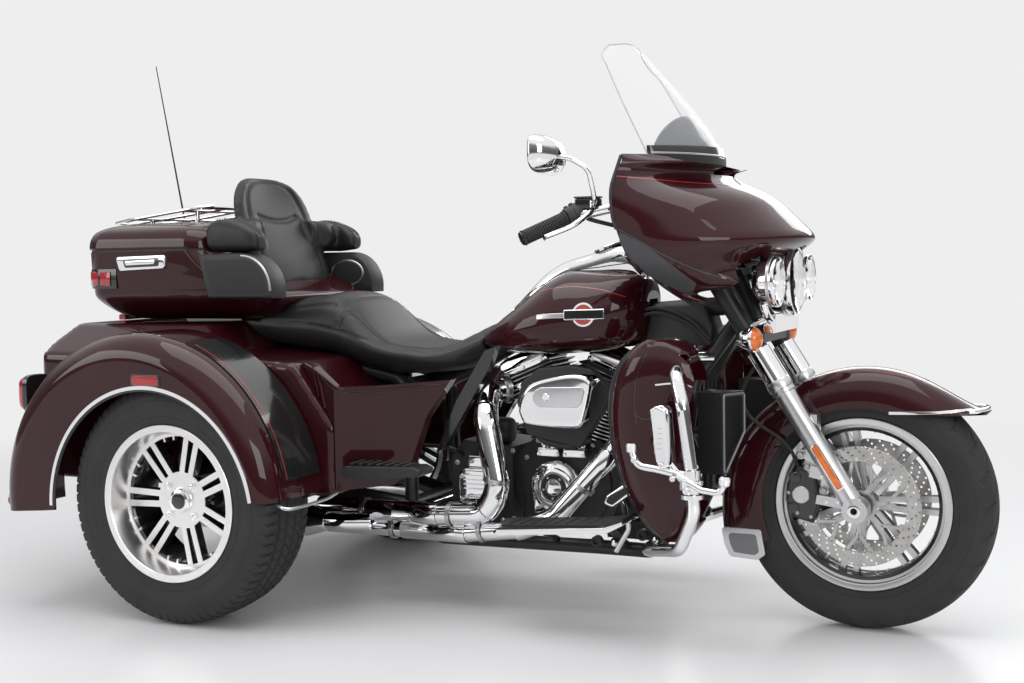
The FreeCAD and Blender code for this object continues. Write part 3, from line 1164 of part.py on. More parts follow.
def fairing():
    wall = size("fairing_wall")
    half = size("fairing_width / 2")
    levels = [(1198, half - 34, 1146, 1297, 1.9), (1165, half - 22, 1140, 1334, 1.8),
              (1112, half - 2, 1131, 1394, 1.5),
              (1050, half, 1134, 1478, 1.1), (1012, half - 6, 1142, 1518, 0.95),
              (985, half - 10, 1150, 1533, 0.85),
              (955, half - 18, 1160, 1500, 0.8), (905, half - 60, 1196, 1470, 0.75),
              (865, half - 108, 1240, 1452, 0.75),
              (832, half - 140, 1284, 1420, 0.75)]

    def outline(level, half_here, rear, nose, fullness, inset, cut_back):
        points = []
        for n in range(13):
            t = math.pi * n / 12 - math.pi / 2
            reach = (nose - inset) - (rear - cut_back)
            x = rear - cut_back + reach * abs(math.cos(t)) ** fullness
            points.append(Vector(x, (half_here - inset) * math.sin(t), level))
        curve = Part.BSplineCurve()
        curve.interpolate(points)
        return Part.Wire([curve.toShape(), Part.LineSegment(points[-1], points[0]).toShape()])
    outer = solid("fairing_form", Part.makeLoft([outline(*level, 0, 0) for level in levels], True, False))
    grown = [(levels[0][0] + 8,) + levels[0][1:]] + levels[1:-1] + [(levels[-1][0] - 8,) + levels[-1][1:]]
    inner_form = Part.makeLoft([outline(*level, wall, 30) for level in grown], True, False)
    inner = solid("fairing_room", inner_form)
    lamp_hole = cylinder("fairing_lamp_hole", "headlamp_radius + 4", 200,
                         ("headlamp_front - 120", 0, "headlamp_level"), (1, 0, 0))
    sides = [cylinder("fairing_side_lamp_hole_%d" % s, "passing_lamp_radius + 6", 200,
                      ("headlamp_front - 112", "%d * passing_lamp_spacing / 2" % s, "headlamp_level + 2"),
                      (1, 0, 0)) for s in (-1, 1)]
    slot = box("fairing_vent_slot", 80, 190, 24, (1290, -95, 1150))
    fork_way = prism("fairing_fork_way", [(1150, 780), (1150, 905), (1330, 905), (1432, 868), (1432, 780)],
                     -215, 215)
    node("fairing_outer", [cut("fairing_shell", outer, [inner, lamp_hole, slot, fork_way] + sides)])
    slab_points = [Vector(x, -500, z) for x, z in ((1150, 1196), (1145, 1112), (1158, 1000), (1215, 900),
                                                   (1268, 838), (1308, 838),
                                                   (1252, 900), (1195, 1000), (1180, 1112), (1186, 1196))]
    slab = Part.Face(Part.makePolygon(slab_points + slab_points[:1])).extrude(Vector(0, 1000, 0))
    inner_plate = common("inner_plate", solid("inner_form", inner_form), solid("inner_slab", slab))
    room = box("inner_bar_room", 240, 224, 300, (1180, -112, 700))
    pods = [cylinder("gauge_pod_%d" % n, radius, 34, (1128, y, z), (1, 0, 0.25))
            for n, (radius, y, z) in enumerate(((46, -62, 1122), (46, 62, 1122), (28, -160, 1130),
                                                (28, 160, 1130)))]
    bar_rooms = [box("inner_bar_way_%d" % s, 200, 112, 110, (1090, s * 262 - 56, 1000)) for s in (-1, 1)]
    yoke_top = size("upper_yoke_level + 12 + seat_gap")
    stays = [bent_tube("fairing_stay_%d" % s, [(1300, s * 153, yoke_top), (1300, s * 153, yoke_top + 28),
                                               (1205, s * 156, 965)], 5.5, 30)
             for s in (-1, 1)]
    screen_half = size("screen_width / 2") + 54
    top = levels[0][0]
    rim_edges = [Part.Arc(Vector(side, -screen_half, top), Vector(front, 0, top),
                          Vector(side, screen_half, top)).toShape()
                 for side, front in ((1196, 1297), (1180, 1280))]
    rim_ends = [Part.LineSegment(Vector(1196, y, top), Vector(1180, y, top)).toShape() for y in (-screen_half,
        screen_half)]
    rim_face = Part.Face(Part.Wire(Part.sortEdges(rim_edges + rim_ends)[0]))
    screen_rim = solid("screen_rim", rim_face.extrude(Vector(0, 0, -18)))
    trimmed = cut("inner_cut", fuse("inner_joined", [inner_plate] + pods), [room] + bar_rooms)
    inner_whole = fuse("inner_whole", [trimmed, screen_rim] + stays)
    node("fairing_inner", [cut("inner_seated", inner_whole, [nodes_base("fairing_outer")])])


def windshield():
    thickness = size("screen_thickness")
    half = size("screen_width / 2")
    top = size("screen_top")
    foot = 1198 + size("seat_gap")
    levels = [(1292, foot, 1190, half + 54, foot), (1264, 1262, 1156, half + 48, 1264),
              (1196, 1350, 1108, half + 30, 1352), (1118, 1440, 1066, half + 8, 1432),
              (1078, top - 20, 1044, half - 18, top - 45), (1062, top, 1040, half - 75, top - 15)]

    arcs = [Part.Wire([Part.Arc(Vector(side_x, -side_y, side_z), Vector(front_x, 0, front_z),
                                Vector(side_x, side_y, side_z)).toShape()])
            for front_x, front_z, side_x, side_y, side_z in levels]
    skin = Part.makeLoft(arcs, False, False)
    screen = solid("screen_sheet", skin.Faces[0].extrude(Vector(-thickness, 0, 0)))
    node("windshield", [screen])


def headlamps():
    level = "headlamp_level"
    main = [cylinder("headlamp_shell", "headlamp_radius", 66, ("headlamp_front - 66", 0, level), (1, 0, 0))]
    ring = softened("headlamp_round", main[0], "14",
                    lambda edge: edge.CenterOfMass.x > size("headlamp_front") - 2)
    side = []
    for s in (-1, 1):
        y = "%d * passing_lamp_spacing / 2" % s
        can = cylinder("passing_can_%d" % s, "passing_lamp_radius", 68,
                       ("headlamp_front - 74", y, "headlamp_level + 2"), (1, 0, 0))
        bowl = cone("passing_bowl_%d" % s, 26, "passing_lamp_radius", 26,
                    ("headlamp_front - 100", y, "headlamp_level + 2"), (1, 0, 0))
        side += [can, bowl]
    bar = bent_tube("lamp_bar", [(1452, -165, 862), (1455, -150, 800), (1460, -100, 776), (1460, 100, 776),
                                 (1455, 150, 800),
                                 (1452, 165, 862)], 11, 40)
    yoke_top = size("lower_yoke_level + 12 + seat_gap")
    bracket = prism("lamp_bracket", [(1440, yoke_top), (1440, 792), (1472, 800), (1472, yoke_top)], -118, 118)
    node("headlamps", [ring, bar, bracket] + side)


def turn_signals():
    lamps = []
    for name, s in (("right", -1), ("left", 1)):
        bullet = cylinder("signal_can_" + name, 23, 52, (1396, s * 172, 738), (1, 0, 0))
        stem = straight_tube("signal_stem_" + name, (1415, s * 160, 738), (1415, s * 118.5, 764), 8)
        lamps.append(fuse("signal_" + name, [bullet, stem]))
    node("turn_signals", [cut("signal_seated_%d" % n, lamp,
                              [nodes_base("headlamps"), nodes_base("fork_covers"), nodes_base("triple_clamps")])
                          for n, lamp in enumerate(lamps)], joined=False)


def handlebar():
    half = size("handlebar_width / 2")
    right = [(1294, 0, 942), (1286, -60, 946), (1262, -190, 1010), (1130, -300, 1072), (1010, -350, 1045),
             (930, -half, 998)]
    left = [(x, -y, z) for x, y, z in right]
    bar = bent_tube("bar_right", right, "bar_radius", 70)
    bar_left = bent_tube("bar_left", left, "bar_radius", 70)
    parts = [bar, bar_left]
    for name, points in (("right", right), ("left", left)):
        tip = Vector(*points[-1])
        into = (Vector(*points[-2]) - tip).normalize()
        s = -1 if name == "right" else 1
        parts.append(solid("grip_" + name, Part.makeCylinder(size("grip_radius"), 118, tip - into * 4, into)))
        parts.append(solid("grip_end_" + name, Part.makeCylinder(size("grip_radius + 3"), 8, tip - into * 10,
                                                                 into)))
        switch = tip + into * 116
        parts.append(solid("switch_" + name, Part.makeCylinder(24, 52, switch, into)))
        lever_start = switch + into * 40 + Vector(34, s * 6, 4)
        parts.append(bent_tube("lever_" + name, [switch + into * 44, lever_start,
                                                 lever_start - into * 90 + Vector(26, 0, -8),
                                                 tip + Vector(58, 0, -10)], 6, 30))
        master = switch + into * 40 + Vector(18, 0, 14)
        parts.append(solid("reservoir_" + name, Part.makeBox(56, 34, 30, master + Vector(-20, -17, -6))))
    risers = [cylinder("riser_%d" % s, 15, 40, (1290, s * 45,
                                                "upper_yoke_level + 12 + seat_gap")) for s in (-1, 1)]
    node("handlebar", parts + risers)


def mirrors():
    half = size("mirror_spacing / 2")
    pair = []
    for name, s in (("right", -1), ("left", 1)):
        shell = Part.makeLoft([smooth_ring([(x, s * half + y, 1194 + z) for y, z in [
            (w * math.cos(t), h * math.sin(t)) for t in [2 * math.pi * n / 16 for n in range(16)]]])
            for x, w, h in ((986, 70, 42), (992, 78, 48), (1010, 76, 46), (1030, 52, 32), (1040, 22, 14))],
            True, False)
        stem = bent_tube("mirror_stem_" + name, [(1070, s * 330, 1080), (1096, s * 378, 1082),
                                                 (1098, s * 396, 1110),
                                                 (1096, s * 420, 1160), (1060, s * 440, 1184),
                                                 (1030, s * half, 1190)], 6, 40)
        whole = fuse("mirror_" + name, [solid("mirror_shell_" + name, shell), stem])
        pair.append(cut("mirror_seated_" + name, whole, [nodes_base("handlebar")]))
    node("mirrors", pair, joined=False)


def brake_calipers():
    pair = []
    for name, s in (("right", -1), ("left", 1)):
        low, high = sorted((s * 60, s * 105.7))
        blank = prism("caliper_blank_" + name, [(1560, 420), (1520, 414), (1494, 372), (1492, 330),
                                                (1512, 288), (1560, 276),
                                                (1574, 330), (1566, 384)], low, high)
        slot_width = size("disc_thickness") + 2 * size("moving_gap")
        slot = cylinder("caliper_slot_" + name, "disc_radius + moving_gap", slot_width,
                        ("wheelbase", s * size("disc_offset") - slot_width / 2, "front_tyre_radius"), (0, 1, 0))
        pair.append(cut("caliper_" + name, blank, [slot]))
    node("brake_calipers", pair, joined=False)


BRAKE_HOSE = [(1420, -78, 725), (1424, -84, 700), (1416, -86, 672), (1394, -88, 640), (1378, -90, 606),
              (1376, -92, 572),
              (1396, -94, 534), (1436, -96, 508), (1478, -98, 484), (1506, -98, 452), (1520, -94, 414)]


def brake_hose():
    hose = bent_tube("hose_tube", BRAKE_HOSE, 4.5, 60)
    radii = [round(e.Curve.Radius, 1) for e in bent_path(BRAKE_HOSE, 60).Edges if hasattr(e.Curve, "Radius")]
    print("brake hose bend radii", radii)
    node("brake_hose", [cut("hose_seated", hose, [nodes_base("brake_calipers"), nodes_base("triple_clamps")])])


def build():
    front_wheel()
    rear_wheel("right", -1)
    rear_wheel("left", 1)
    rear_body()
    frame()
    rear_axle()
    crankcase()
    cylinders()
    rocker_covers()
    pushrod_tubes()
    air_cleaner()
    engine_covers()
    exhaust_pipes()
    mufflers()
    rear_fenders()
    side_covers()
    deflectors()
    tail_lamps()
    top_box()
    luggage_rack()
    speaker_pods()
    backrest()
    antenna()
    fuel_tank()
    seat()
    engine_guard()
    lower_fairings()
    highway_pegs()
    radiators()
    floorboards()
    yokes()
    front_fender()
    fork_legs()
    fork_covers()
    front_axle()
    fairing()
    windshield()
    headlamps()
    turn_signals()
    handlebar()
    mirrors()
    brake_calipers()
    brake_hose()


build()
doc.recompute()
failed = [item.Name for item in doc.Objects if "Invalid" in item.State or "Error" in item.State]
broken = [label for label, item in nodes.items() if item.Shape.isNull() or not item.Shape.isValid()]
if failed or broken:
    raise RuntimeError("failed objects %s, broken shapes %s" % (failed, broken))
os.makedirs("parts", exist_ok=True)
for label, item in nodes.items():
    item.Shape.exportStep("parts/%s.step" % label)
    print(label, len(item.Shape.Solids), round(item.Shape.Volume / 1000), "cm3")
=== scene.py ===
# Surfaces, lamps and fine parts of a three-wheel touring motorcycle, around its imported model.
# Sizes are millimetres in the vehicle's own layout: the origin is on the ground under the rear axle,
# +X forward, +Y left, +Z up. to_frame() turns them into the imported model's metres.
import json
import math

import bmesh
import bpy
from mathutils import Matrix, Vector
from mathutils.bvhtree import BVHTree
from mathutils.kdtree import KDTree


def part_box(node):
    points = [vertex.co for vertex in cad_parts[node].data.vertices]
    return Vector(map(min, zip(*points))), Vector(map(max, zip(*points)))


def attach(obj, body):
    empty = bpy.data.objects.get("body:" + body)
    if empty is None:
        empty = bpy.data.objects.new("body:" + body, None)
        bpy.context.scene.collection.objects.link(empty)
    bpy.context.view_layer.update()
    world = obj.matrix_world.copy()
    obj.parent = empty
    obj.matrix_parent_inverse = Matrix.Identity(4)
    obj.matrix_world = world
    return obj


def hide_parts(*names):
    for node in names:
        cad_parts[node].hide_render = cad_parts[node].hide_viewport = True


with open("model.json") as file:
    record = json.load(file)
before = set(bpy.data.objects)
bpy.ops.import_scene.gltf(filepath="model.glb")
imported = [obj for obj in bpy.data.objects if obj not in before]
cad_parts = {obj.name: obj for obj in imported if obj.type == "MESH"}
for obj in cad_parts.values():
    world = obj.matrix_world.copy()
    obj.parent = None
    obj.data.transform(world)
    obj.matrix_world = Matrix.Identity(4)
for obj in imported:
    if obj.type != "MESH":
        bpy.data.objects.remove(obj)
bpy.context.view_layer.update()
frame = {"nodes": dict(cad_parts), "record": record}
MM = 0.001
AXLE_X = sum(corner.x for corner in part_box("rear_tyre_right")) / 2
AHEAD, BACK = (1, 0, 0), (-1, 0, 0)
LEFT, RIGHT = (0, 1, 0), (0, -1, 0)
UP, DOWN = (0, 0, 1), (0, 0, -1)
SHARP_CORNER = 35
CAST_DEPTH = 300
trees = {}


def to_frame(point):
    """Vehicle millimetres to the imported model's metres."""
    return Vector((point[0] * MM + AXLE_X, point[1] * MM, point[2] * MM))


def to_vehicle(point):
    """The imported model's metres to vehicle millimetres."""
    return Vector(((point[0] - AXLE_X) / MM, point[1] / MM, point[2] / MM))


def middle_of(node):
    """The middle of a CAD node's box, in vehicle millimetres."""
    low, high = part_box(node)
    return to_vehicle((low + high) / 2)


# Shapes: each is (points, faces) in vehicle millimetres

def merged(*shapes):
    """Several shapes as one."""
    points, faces = [], []
    for shape_points, shape_faces in shapes:
        base = len(points)
        points += [Vector(p) for p in shape_points]
        faces += [tuple(base + n for n in face) for face in shape_faces]
    return points, faces


def mirrored(shape):
    """The same shape on the other side of the middle plane."""
    points, faces = shape
    return [Vector((p[0], -p[1], p[2])) for p in points], [tuple(reversed(face)) for face in faces]


def both(shape):
    """A shape and its mirror image."""
    return merged(shape, mirrored(shape))


def placed(shape, at, along=UP, turn=0.0):
    """A shape made about +Z, turned by an angle about itself, pointed along a direction and moved."""
    to_axis = Vector(along).to_track_quat("Z", "Y").to_matrix() @ Matrix.Rotation(turn, 3, "Z")
    return [to_axis @ Vector(p) + Vector(at) for p in shape[0]], shape[1]


def repeated(shape, centre, axis, count, start=0.0):
    """Copies of a shape at even angles about an axis."""
    copies = []
    for n in range(count):
        spin = Matrix.Rotation(start + 2 * math.pi * n / count, 3, Vector(axis))
        copies.append(([spin @ (Vector(p) - Vector(centre)) + Vector(centre) for p in shape[0]], shape[1]))
    return merged(*copies)


def skin(rings, around=True, caps=True):
    """Faces between rings of equally many points, with the first and last ring closed by caps."""
    count = len(rings[0])
    points = [Vector(p) for ring in rings for p in ring]
    faces = []
    for r in range(len(rings) - 1):
        for n in range(count if around else count - 1):
            a, b = r * count + n, r * count + (n + 1) % count
            faces.append((a, b, b + count, a + count))
    if caps:
        faces += [tuple(reversed(range(count))), tuple(range(len(points) - count, len(points)))]
    return points, faces


def lathe(profile, segments=96, closed=False):
    """A profile of (along, radius) points turned about +Z; a closed profile makes a ring with no ends."""
    count = len(profile)
    points = []
    for n in range(segments):
        angle = 2 * math.pi * n / segments
        points += [Vector((r * math.cos(angle), r * math.sin(angle), a)) for a, r in profile]
    faces = []
    for n in range(segments):
        here, after = n * count, (n + 1) % segments * count
        for i in range(count if closed else count - 1):
            j = (i + 1) % count
            faces.append((here + i, here + j, after + j, after + i))
    if not closed:
        faces.append(tuple(n * count for n in range(segments)))
        faces.append(tuple(n * count + count - 1 for n in reversed(range(segments))))
    return points, faces


def turned(profile, segments, at, along, closed=False):
    """A turned profile, pointed along a direction and moved."""
    return placed(lathe(profile, segments, closed), at, along)


def prism(outline, low_y, high_y):
    """A side outline of (x, z) points with thickness across the vehicle."""
    return skin([[(x, low_y, z) for x, z in outline], [(x, high_y, z) for x, z in outline]])


def block(low, high):
    """A box between two corners."""
    outline = [(low[0], low[2]), (high[0], low[2]), (high[0], high[2]), (low[0], high[2])]
    return prism(outline, low[1], high[1])


def at_y(y, outline):
    """(x, z) points set at one distance across the vehicle."""
    return [(x, y, z) for x, z in outline]


def even_turns(count):
    """Even angles once round."""
    return [2 * math.pi * n / count for n in range(count)]


def sweep(start, stop, step):
    """Angles at whole degrees."""
    return [math.radians(degrees) for degrees in range(start, stop, step)]


def oval(centre, reach_x, reach_z, turns):
    """(x, z) points round a centre, one at each turn."""
    return [(centre[0] + reach_x * math.cos(t), centre[1] + reach_z * math.sin(t)) for t in turns]


def squarish(turn, power):
    """A turn's cosine and sine, drawn towards a square by a power below 1."""
    return tuple(math.copysign(abs(value) ** power, value) for value in (math.cos(turn), math.sin(turn)))


def tube(path, radius, sides=14, caps=True):
    """A round tube along a path of points; radius is one size or one for each point."""
    path = [Vector(p) for p in path]
    last = len(path) - 1
    side = (path[1] - path[0]).orthogonal().normalized()
    rings = []
    for n, point in enumerate(path):
        tangent = (path[min(n + 1, last)] - path[max(n - 1, 0)]).normalized()
        side = (side - tangent * side.dot(tangent)).normalized()
        other = tangent.cross(side)
        reach = radius[n] if isinstance(radius, (list, tuple)) else radius
        turns = [2 * math.pi * k / sides for k in range(sides)]
        rings.append([point + (side * math.cos(t) + other * math.sin(t)) * reach for t in turns])
    return skin(rings, caps=caps)


def bent(points, bend, steps=7):
    """Straight runs joined by tangent arcs, each as large as bend or as its runs allow."""
    points = [Vector(p) for p in points]
    path = [points[0]]
    for before, corner, after in zip(points, points[1:], points[2:]):
        into, out = (corner - before).normalized(), (after - corner).normalized()
        half_turn = into.angle(out) / 2
        if half_turn < 0.01:
            path.append(corner)
            continue
        reach = min(bend * math.tan(half_turn), 0.45 * min((corner - before).length,
                                                           (after - corner).length))
        radius = reach / math.tan(half_turn)
        centre = corner + (out - into).normalized() * (radius / math.cos(half_turn))
        first = corner - into * reach - centre
        axis = into.cross(out).normalized()
        path += [Matrix.Rotation(2 * half_turn * n / steps, 3, axis) @ first + centre
                 for n in range(steps + 1)]
    return path + [points[-1]]


def smooth_path(points, steps=8):
    """A smooth path through every point."""
    points = [Vector(p) for p in points]
    ends = [2 * points[0] - points[1]] + points + [2 * points[-1] - points[-2]]
    path = []
    for a, b, c, d in zip(ends, ends[1:], ends[2:], ends[3:]):
        for n in range(steps):
            t = n / steps
            path.append(0.5 * (2 * b + (c - a) * t + (2 * a - 5 * b + 4 * c - d) * t * t
                               + (3 * b - a - 3 * c + d) * t * t * t))
    return path + [points[-1]]


def smooth_outline(outline, steps=6):
    """A closed (x, z) outline rounded through all its points."""
    points = [Vector((x, 0, z)) for x, z in outline]
    loop = points[-1:] + points + points[:2]
    path = smooth_path(loop, steps)[steps:-2 * steps]
    return [(p.x, p.z) for p in path]


def rounded_outline(outline, radius, steps=5):
    """A closed (x, z) outline with every corner turned into an arc."""
    count = len(outline)
    path = []
    for n in range(count):
        trio = [Vector((x, 0, z)) for x, z in (outline[n - 1], outline[n], outline[(n + 1) % count])]
        path += bent(trio, radius, steps)[1:-1]
    return [(p.x, p.z) for p in path]


def inset(outline, gap):
    """A closed (x, z) outline moved inwards by a gap."""
    points = [Vector((x, z)) for x, z in outline]
    count = len(points)
    area = sum(points[n - 1].cross(points[n]) for n in range(count))
    moved = []
    for n in range(count):
        into = (points[n] - points[n - 1]).normalized()
        out = (points[(n + 1) % count] - points[n]).normalized()
        normal = Vector((-(into + out).y, (into + out).x)).normalized() * (1 if area > 0 else -1)
        moved.append(tuple(points[n] + normal * gap))
    return moved


def crowned(outline, base_y, face_y, edge, steps=4):
    """A cover on the right side: an outline raised from base_y to face_y, with a round edge."""
    rings = [at_y(base_y, outline)]
    for n in range(steps + 1):
        turn = math.pi / 2 * n / steps
        y = face_y + math.copysign(edge * (1 - math.sin(turn)), base_y - face_y)
        rings.append(at_y(y, inset(outline, edge * (1 - math.cos(turn)))))
    return skin(rings)


def layered(outline, layers):
    """An outline at several (y, inset) levels."""
    return skin([at_y(y, inset(outline, drawn)) for y, drawn in layers])


def hexagon_bolt(at, along, radius, height):
    """A six-sided head on a round flange."""
    profile = [(0, radius * 1.25), (1.2, radius * 1.25), (1.2, radius), (height * 0.8, radius),
               (height, radius * 0.8)]
    return turned(profile, 6, at, along)


def cap_screw(at, along, radius, height):
    """A round-headed screw with a socket in it."""
    profile = [(0, radius), (height * 0.7, radius), (height, radius * 0.82), (height, radius * 0.45),
               (height * 0.5, radius * 0.4), (height * 0.5, 0.2)]
    return turned(profile, 18, at, along)


# Pieces

def mesh_of(name, shape, weld=False):
    """A mesh of a shape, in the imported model's metres, with its faces turned outwards."""
    mesh = bpy.data.meshes.new(name)
    mesh.from_pydata([to_frame(p) for p in shape[0]], [], shape[1])
    made = bmesh.new()
    made.from_mesh(mesh)
    if weld:
        bmesh.ops.remove_doubles(made, verts=made.verts, dist=1e-6)
    bmesh.ops.recalc_face_normals(made, faces=made.faces)
    made.to_mesh(mesh)
    made.free()
    return mesh


def linked(name, mesh):
    """A new object in the scene."""
    item = bpy.data.objects.new(name, mesh)
    bpy.context.scene.collection.objects.link(item)
    return item


def dressed(item, finish, body, stands_for=()):
    """Give a piece its finish, the body that carries it and the CAD nodes that it shows instead of."""
    item.data.materials.clear()
    item.data.materials.append(FINISH[finish])
    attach(item, body)
    if stands_for:
        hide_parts(*stands_for)
    return item


def piece(name, shape, finish, body="chassis", stands_for=(), bevel=0.0, corner=SHARP_CORNER):
    """A mesh in the scene, with its finish, riding on a body of the frame."""
    item = linked(name, mesh_of(name, shape, weld=True))
    if bevel:
        rounding = item.modifiers.new("edges", "BEVEL")
        rounding.width = bevel * MM
        rounding.segments = 2
        rounding.limit_method = "ANGLE"
        rounding.angle_limit = math.radians(30)
        settled(item)
    item.data.shade_smooth()
    item.data.set_sharp_from_angle(angle=math.radians(corner))
    if bevel:
        item.modifiers.new("faces", "WEIGHTED_NORMAL").keep_sharp = True
    return dressed(item, finish, body, stands_for)


def applied(item):
    """A piece's mesh with its modifiers in it."""
    depsgraph = bpy.context.evaluated_depsgraph_get()
    depsgraph.update()
    return bpy.data.meshes.new_from_object(item.evaluated_get(depsgraph))


def settled(item):
    """Turn a piece's modifiers into its mesh."""
    item.data = applied(item)
    item.modifiers.clear()
    return item


def thickened(item, thickness, offset=-1):
    """Give an open skin a wall."""
    wall = item.modifiers.new("thickness", "SOLIDIFY")
    wall.thickness = thickness * MM
    wall.offset = offset
    return settled(item)


def melted(name, mesh, voxel, passes=6):
    """A form remade in even cells, with its hard edges melted round."""
    item = linked(name, mesh)
    cells = item.modifiers.new("cells", "REMESH")
    cells.mode = "VOXEL"
    cells.voxel_size = voxel * MM
    melt = item.modifiers.new("melt", "SMOOTH")
    melt.iterations = passes
    melt.factor = 0.5
    return settled(item)


def carved(item, shape):
    """Cut a shape out of a finished piece."""
    carver = linked("carver", mesh_of("carver", shape))
    cut = item.modifiers.new("carve", "BOOLEAN")
    cut.object = carver
    cut.operation = "DIFFERENCE"
    cut.solver = "EXACT"
    settled(item)
    bpy.data.objects.remove(carver)
    item.data.shade_smooth()
    item.data.set_sharp_from_angle(angle=math.radians(SHARP_CORNER))


def steered(name, shape, finish, **rest):
    """A piece that turns with the fork."""
    return piece(name, shape, finish, "steering", **rest)


def tree_of(mesh):
    """A search tree of a mesh's faces, in vehicle millimetres."""
    points = [to_vehicle(v.co) for v in mesh.vertices]
    return BVHTree.FromPolygons(points, [tuple(p.vertices) for p in mesh.polygons])


def first_hit(tree, start, direction):
    """Where a ray from start first meets a tree's faces: (place, outward normal), or None."""
    direction = Vector(direction)
    place, normal, index, distance = tree.ray_cast(Vector(start), direction)
    if place is None:
        return None
    return place, normal if normal.dot(direction) < 0 else -normal


def on_surface(node, start, direction):
    """Where a ray first meets a CAD node, whose tree is made once: (place, outward normal), or None."""
    if node not in trees:
        trees[node] = tree_of(frame["nodes"][node].data)
    return first_hit(trees[node], start, direction)


def band(places, width, height, sunk=1.0):
    """A flat strip lying on (place, normal) pairs, width across and height proud."""
    rings = []
    last = len(places) - 1
    for n, (place, normal) in enumerate(places):
        tangent = (places[min(n + 1, last)][0] - places[max(n - 1, 0)][0]).normalized()
        side = tangent.cross(normal).normalized() * (width / 2)
        low, high = place - normal * sunk, place + normal * height
        rings.append([low - side, high - side * 0.8, high + side * 0.8, low + side])
    return skin(rings)


def patch_on(node, rows, direction, proud):
    """A thin plate that follows a CAD node, under rows of points cast onto it in a direction."""
    rings = []
    for row in rows:
        found = [on_surface(node, Vector(point) - Vector(direction) * CAST_DEPTH, direction)
                 for point in row]
        if all(found):
            first, last = found[0], found[-1]
            rings.append([first[0] - first[1]] + [place + normal * proud
                                                  for place, normal in found] + [last[0] - last[1]])
    return skin(rings)


def line_on(node, guide, direction, width, height, steps=8):
    """A strip on a CAD node, along a guide that is cast onto it in a direction."""
    back_off = Vector(direction) * CAST_DEPTH
    places = [on_surface(node, point - back_off, direction) for point in smooth_path(guide, steps)]
    return band([place for place in places if place], width, height)


# Finishes

FINISH = {}
BUMP_DEPTH = 0.0006


def shader_node(tree, kind, values=()):
    """A node in a shader tree, with some of its inputs set."""
    made = tree.nodes.new("ShaderNode" + kind)
    for socket, value in dict(values).items():
        made.inputs[socket].default_value = value
    return made


def mixed(tree, share, first, second):
    """A mix of two shaders by a socket's value."""
    mix = shader_node(tree, "MixShader")
    tree.links.new(share, mix.inputs[0])
    tree.links.new(first.outputs[0], mix.inputs[1])
    tree.links.new(second.outputs[0], mix.inputs[2])
    return mix


def finish(name, colour, roughness, metallic=0.0, shade=0.08, shade_size=5.0, spread=0.04, grain=0.0,
           grain_size=400.0, cells=False, **sockets):
    """A material with slow changes of colour and roughness, and a fine grain that stands up as bump."""
    material = bpy.data.materials.new(name)
    material.use_nodes = True
    tree = material.node_tree
    link = tree.links.new
    shader = tree.nodes["Principled BSDF"]
    shader.inputs["Metallic"].default_value = metallic
    for socket, value in sockets.items():
        shader.inputs[socket.replace("_", " ")].default_value = value
    place = shader_node(tree, "TexCoord").outputs["Object"]
    clouds = shader_node(tree, "TexNoise", {"Scale": shade_size, "Detail": 5})
    link(place, clouds.inputs["Vector"])
    tones = shader_node(tree, "ValToRGB")
    for element, level, at in zip(tones.color_ramp.elements, (1 - shade, 1 + shade), (0.35, 0.65)):
        element.position = at
        element.color = [min(c * level, 1) for c in colour] + [1]
    link(clouds.outputs["Fac"], tones.inputs["Fac"])
    link(tones.outputs["Color"], shader.inputs["Base Color"])
    wear = shader_node(tree, "MapRange", {"To Min": max(roughness - spread, 0),
                                          "To Max": min(roughness + spread, 1)})
    link(clouds.outputs["Fac"], wear.inputs["Value"])
    link(wear.outputs["Result"], shader.inputs["Roughness"])
    if grain:
        texture = shader_node(tree, "TexVoronoi" if cells else "TexNoise", {"Scale": grain_size})
        link(place, texture.inputs["Vector"])
        bump = shader_node(tree, "Bump", {"Strength": grain, "Distance": BUMP_DEPTH})
        link(texture.outputs["Distance" if cells else "Fac"], bump.inputs["Height"])
        link(bump.outputs["Normal"], shader.inputs["Normal"])
    FINISH[name] = material


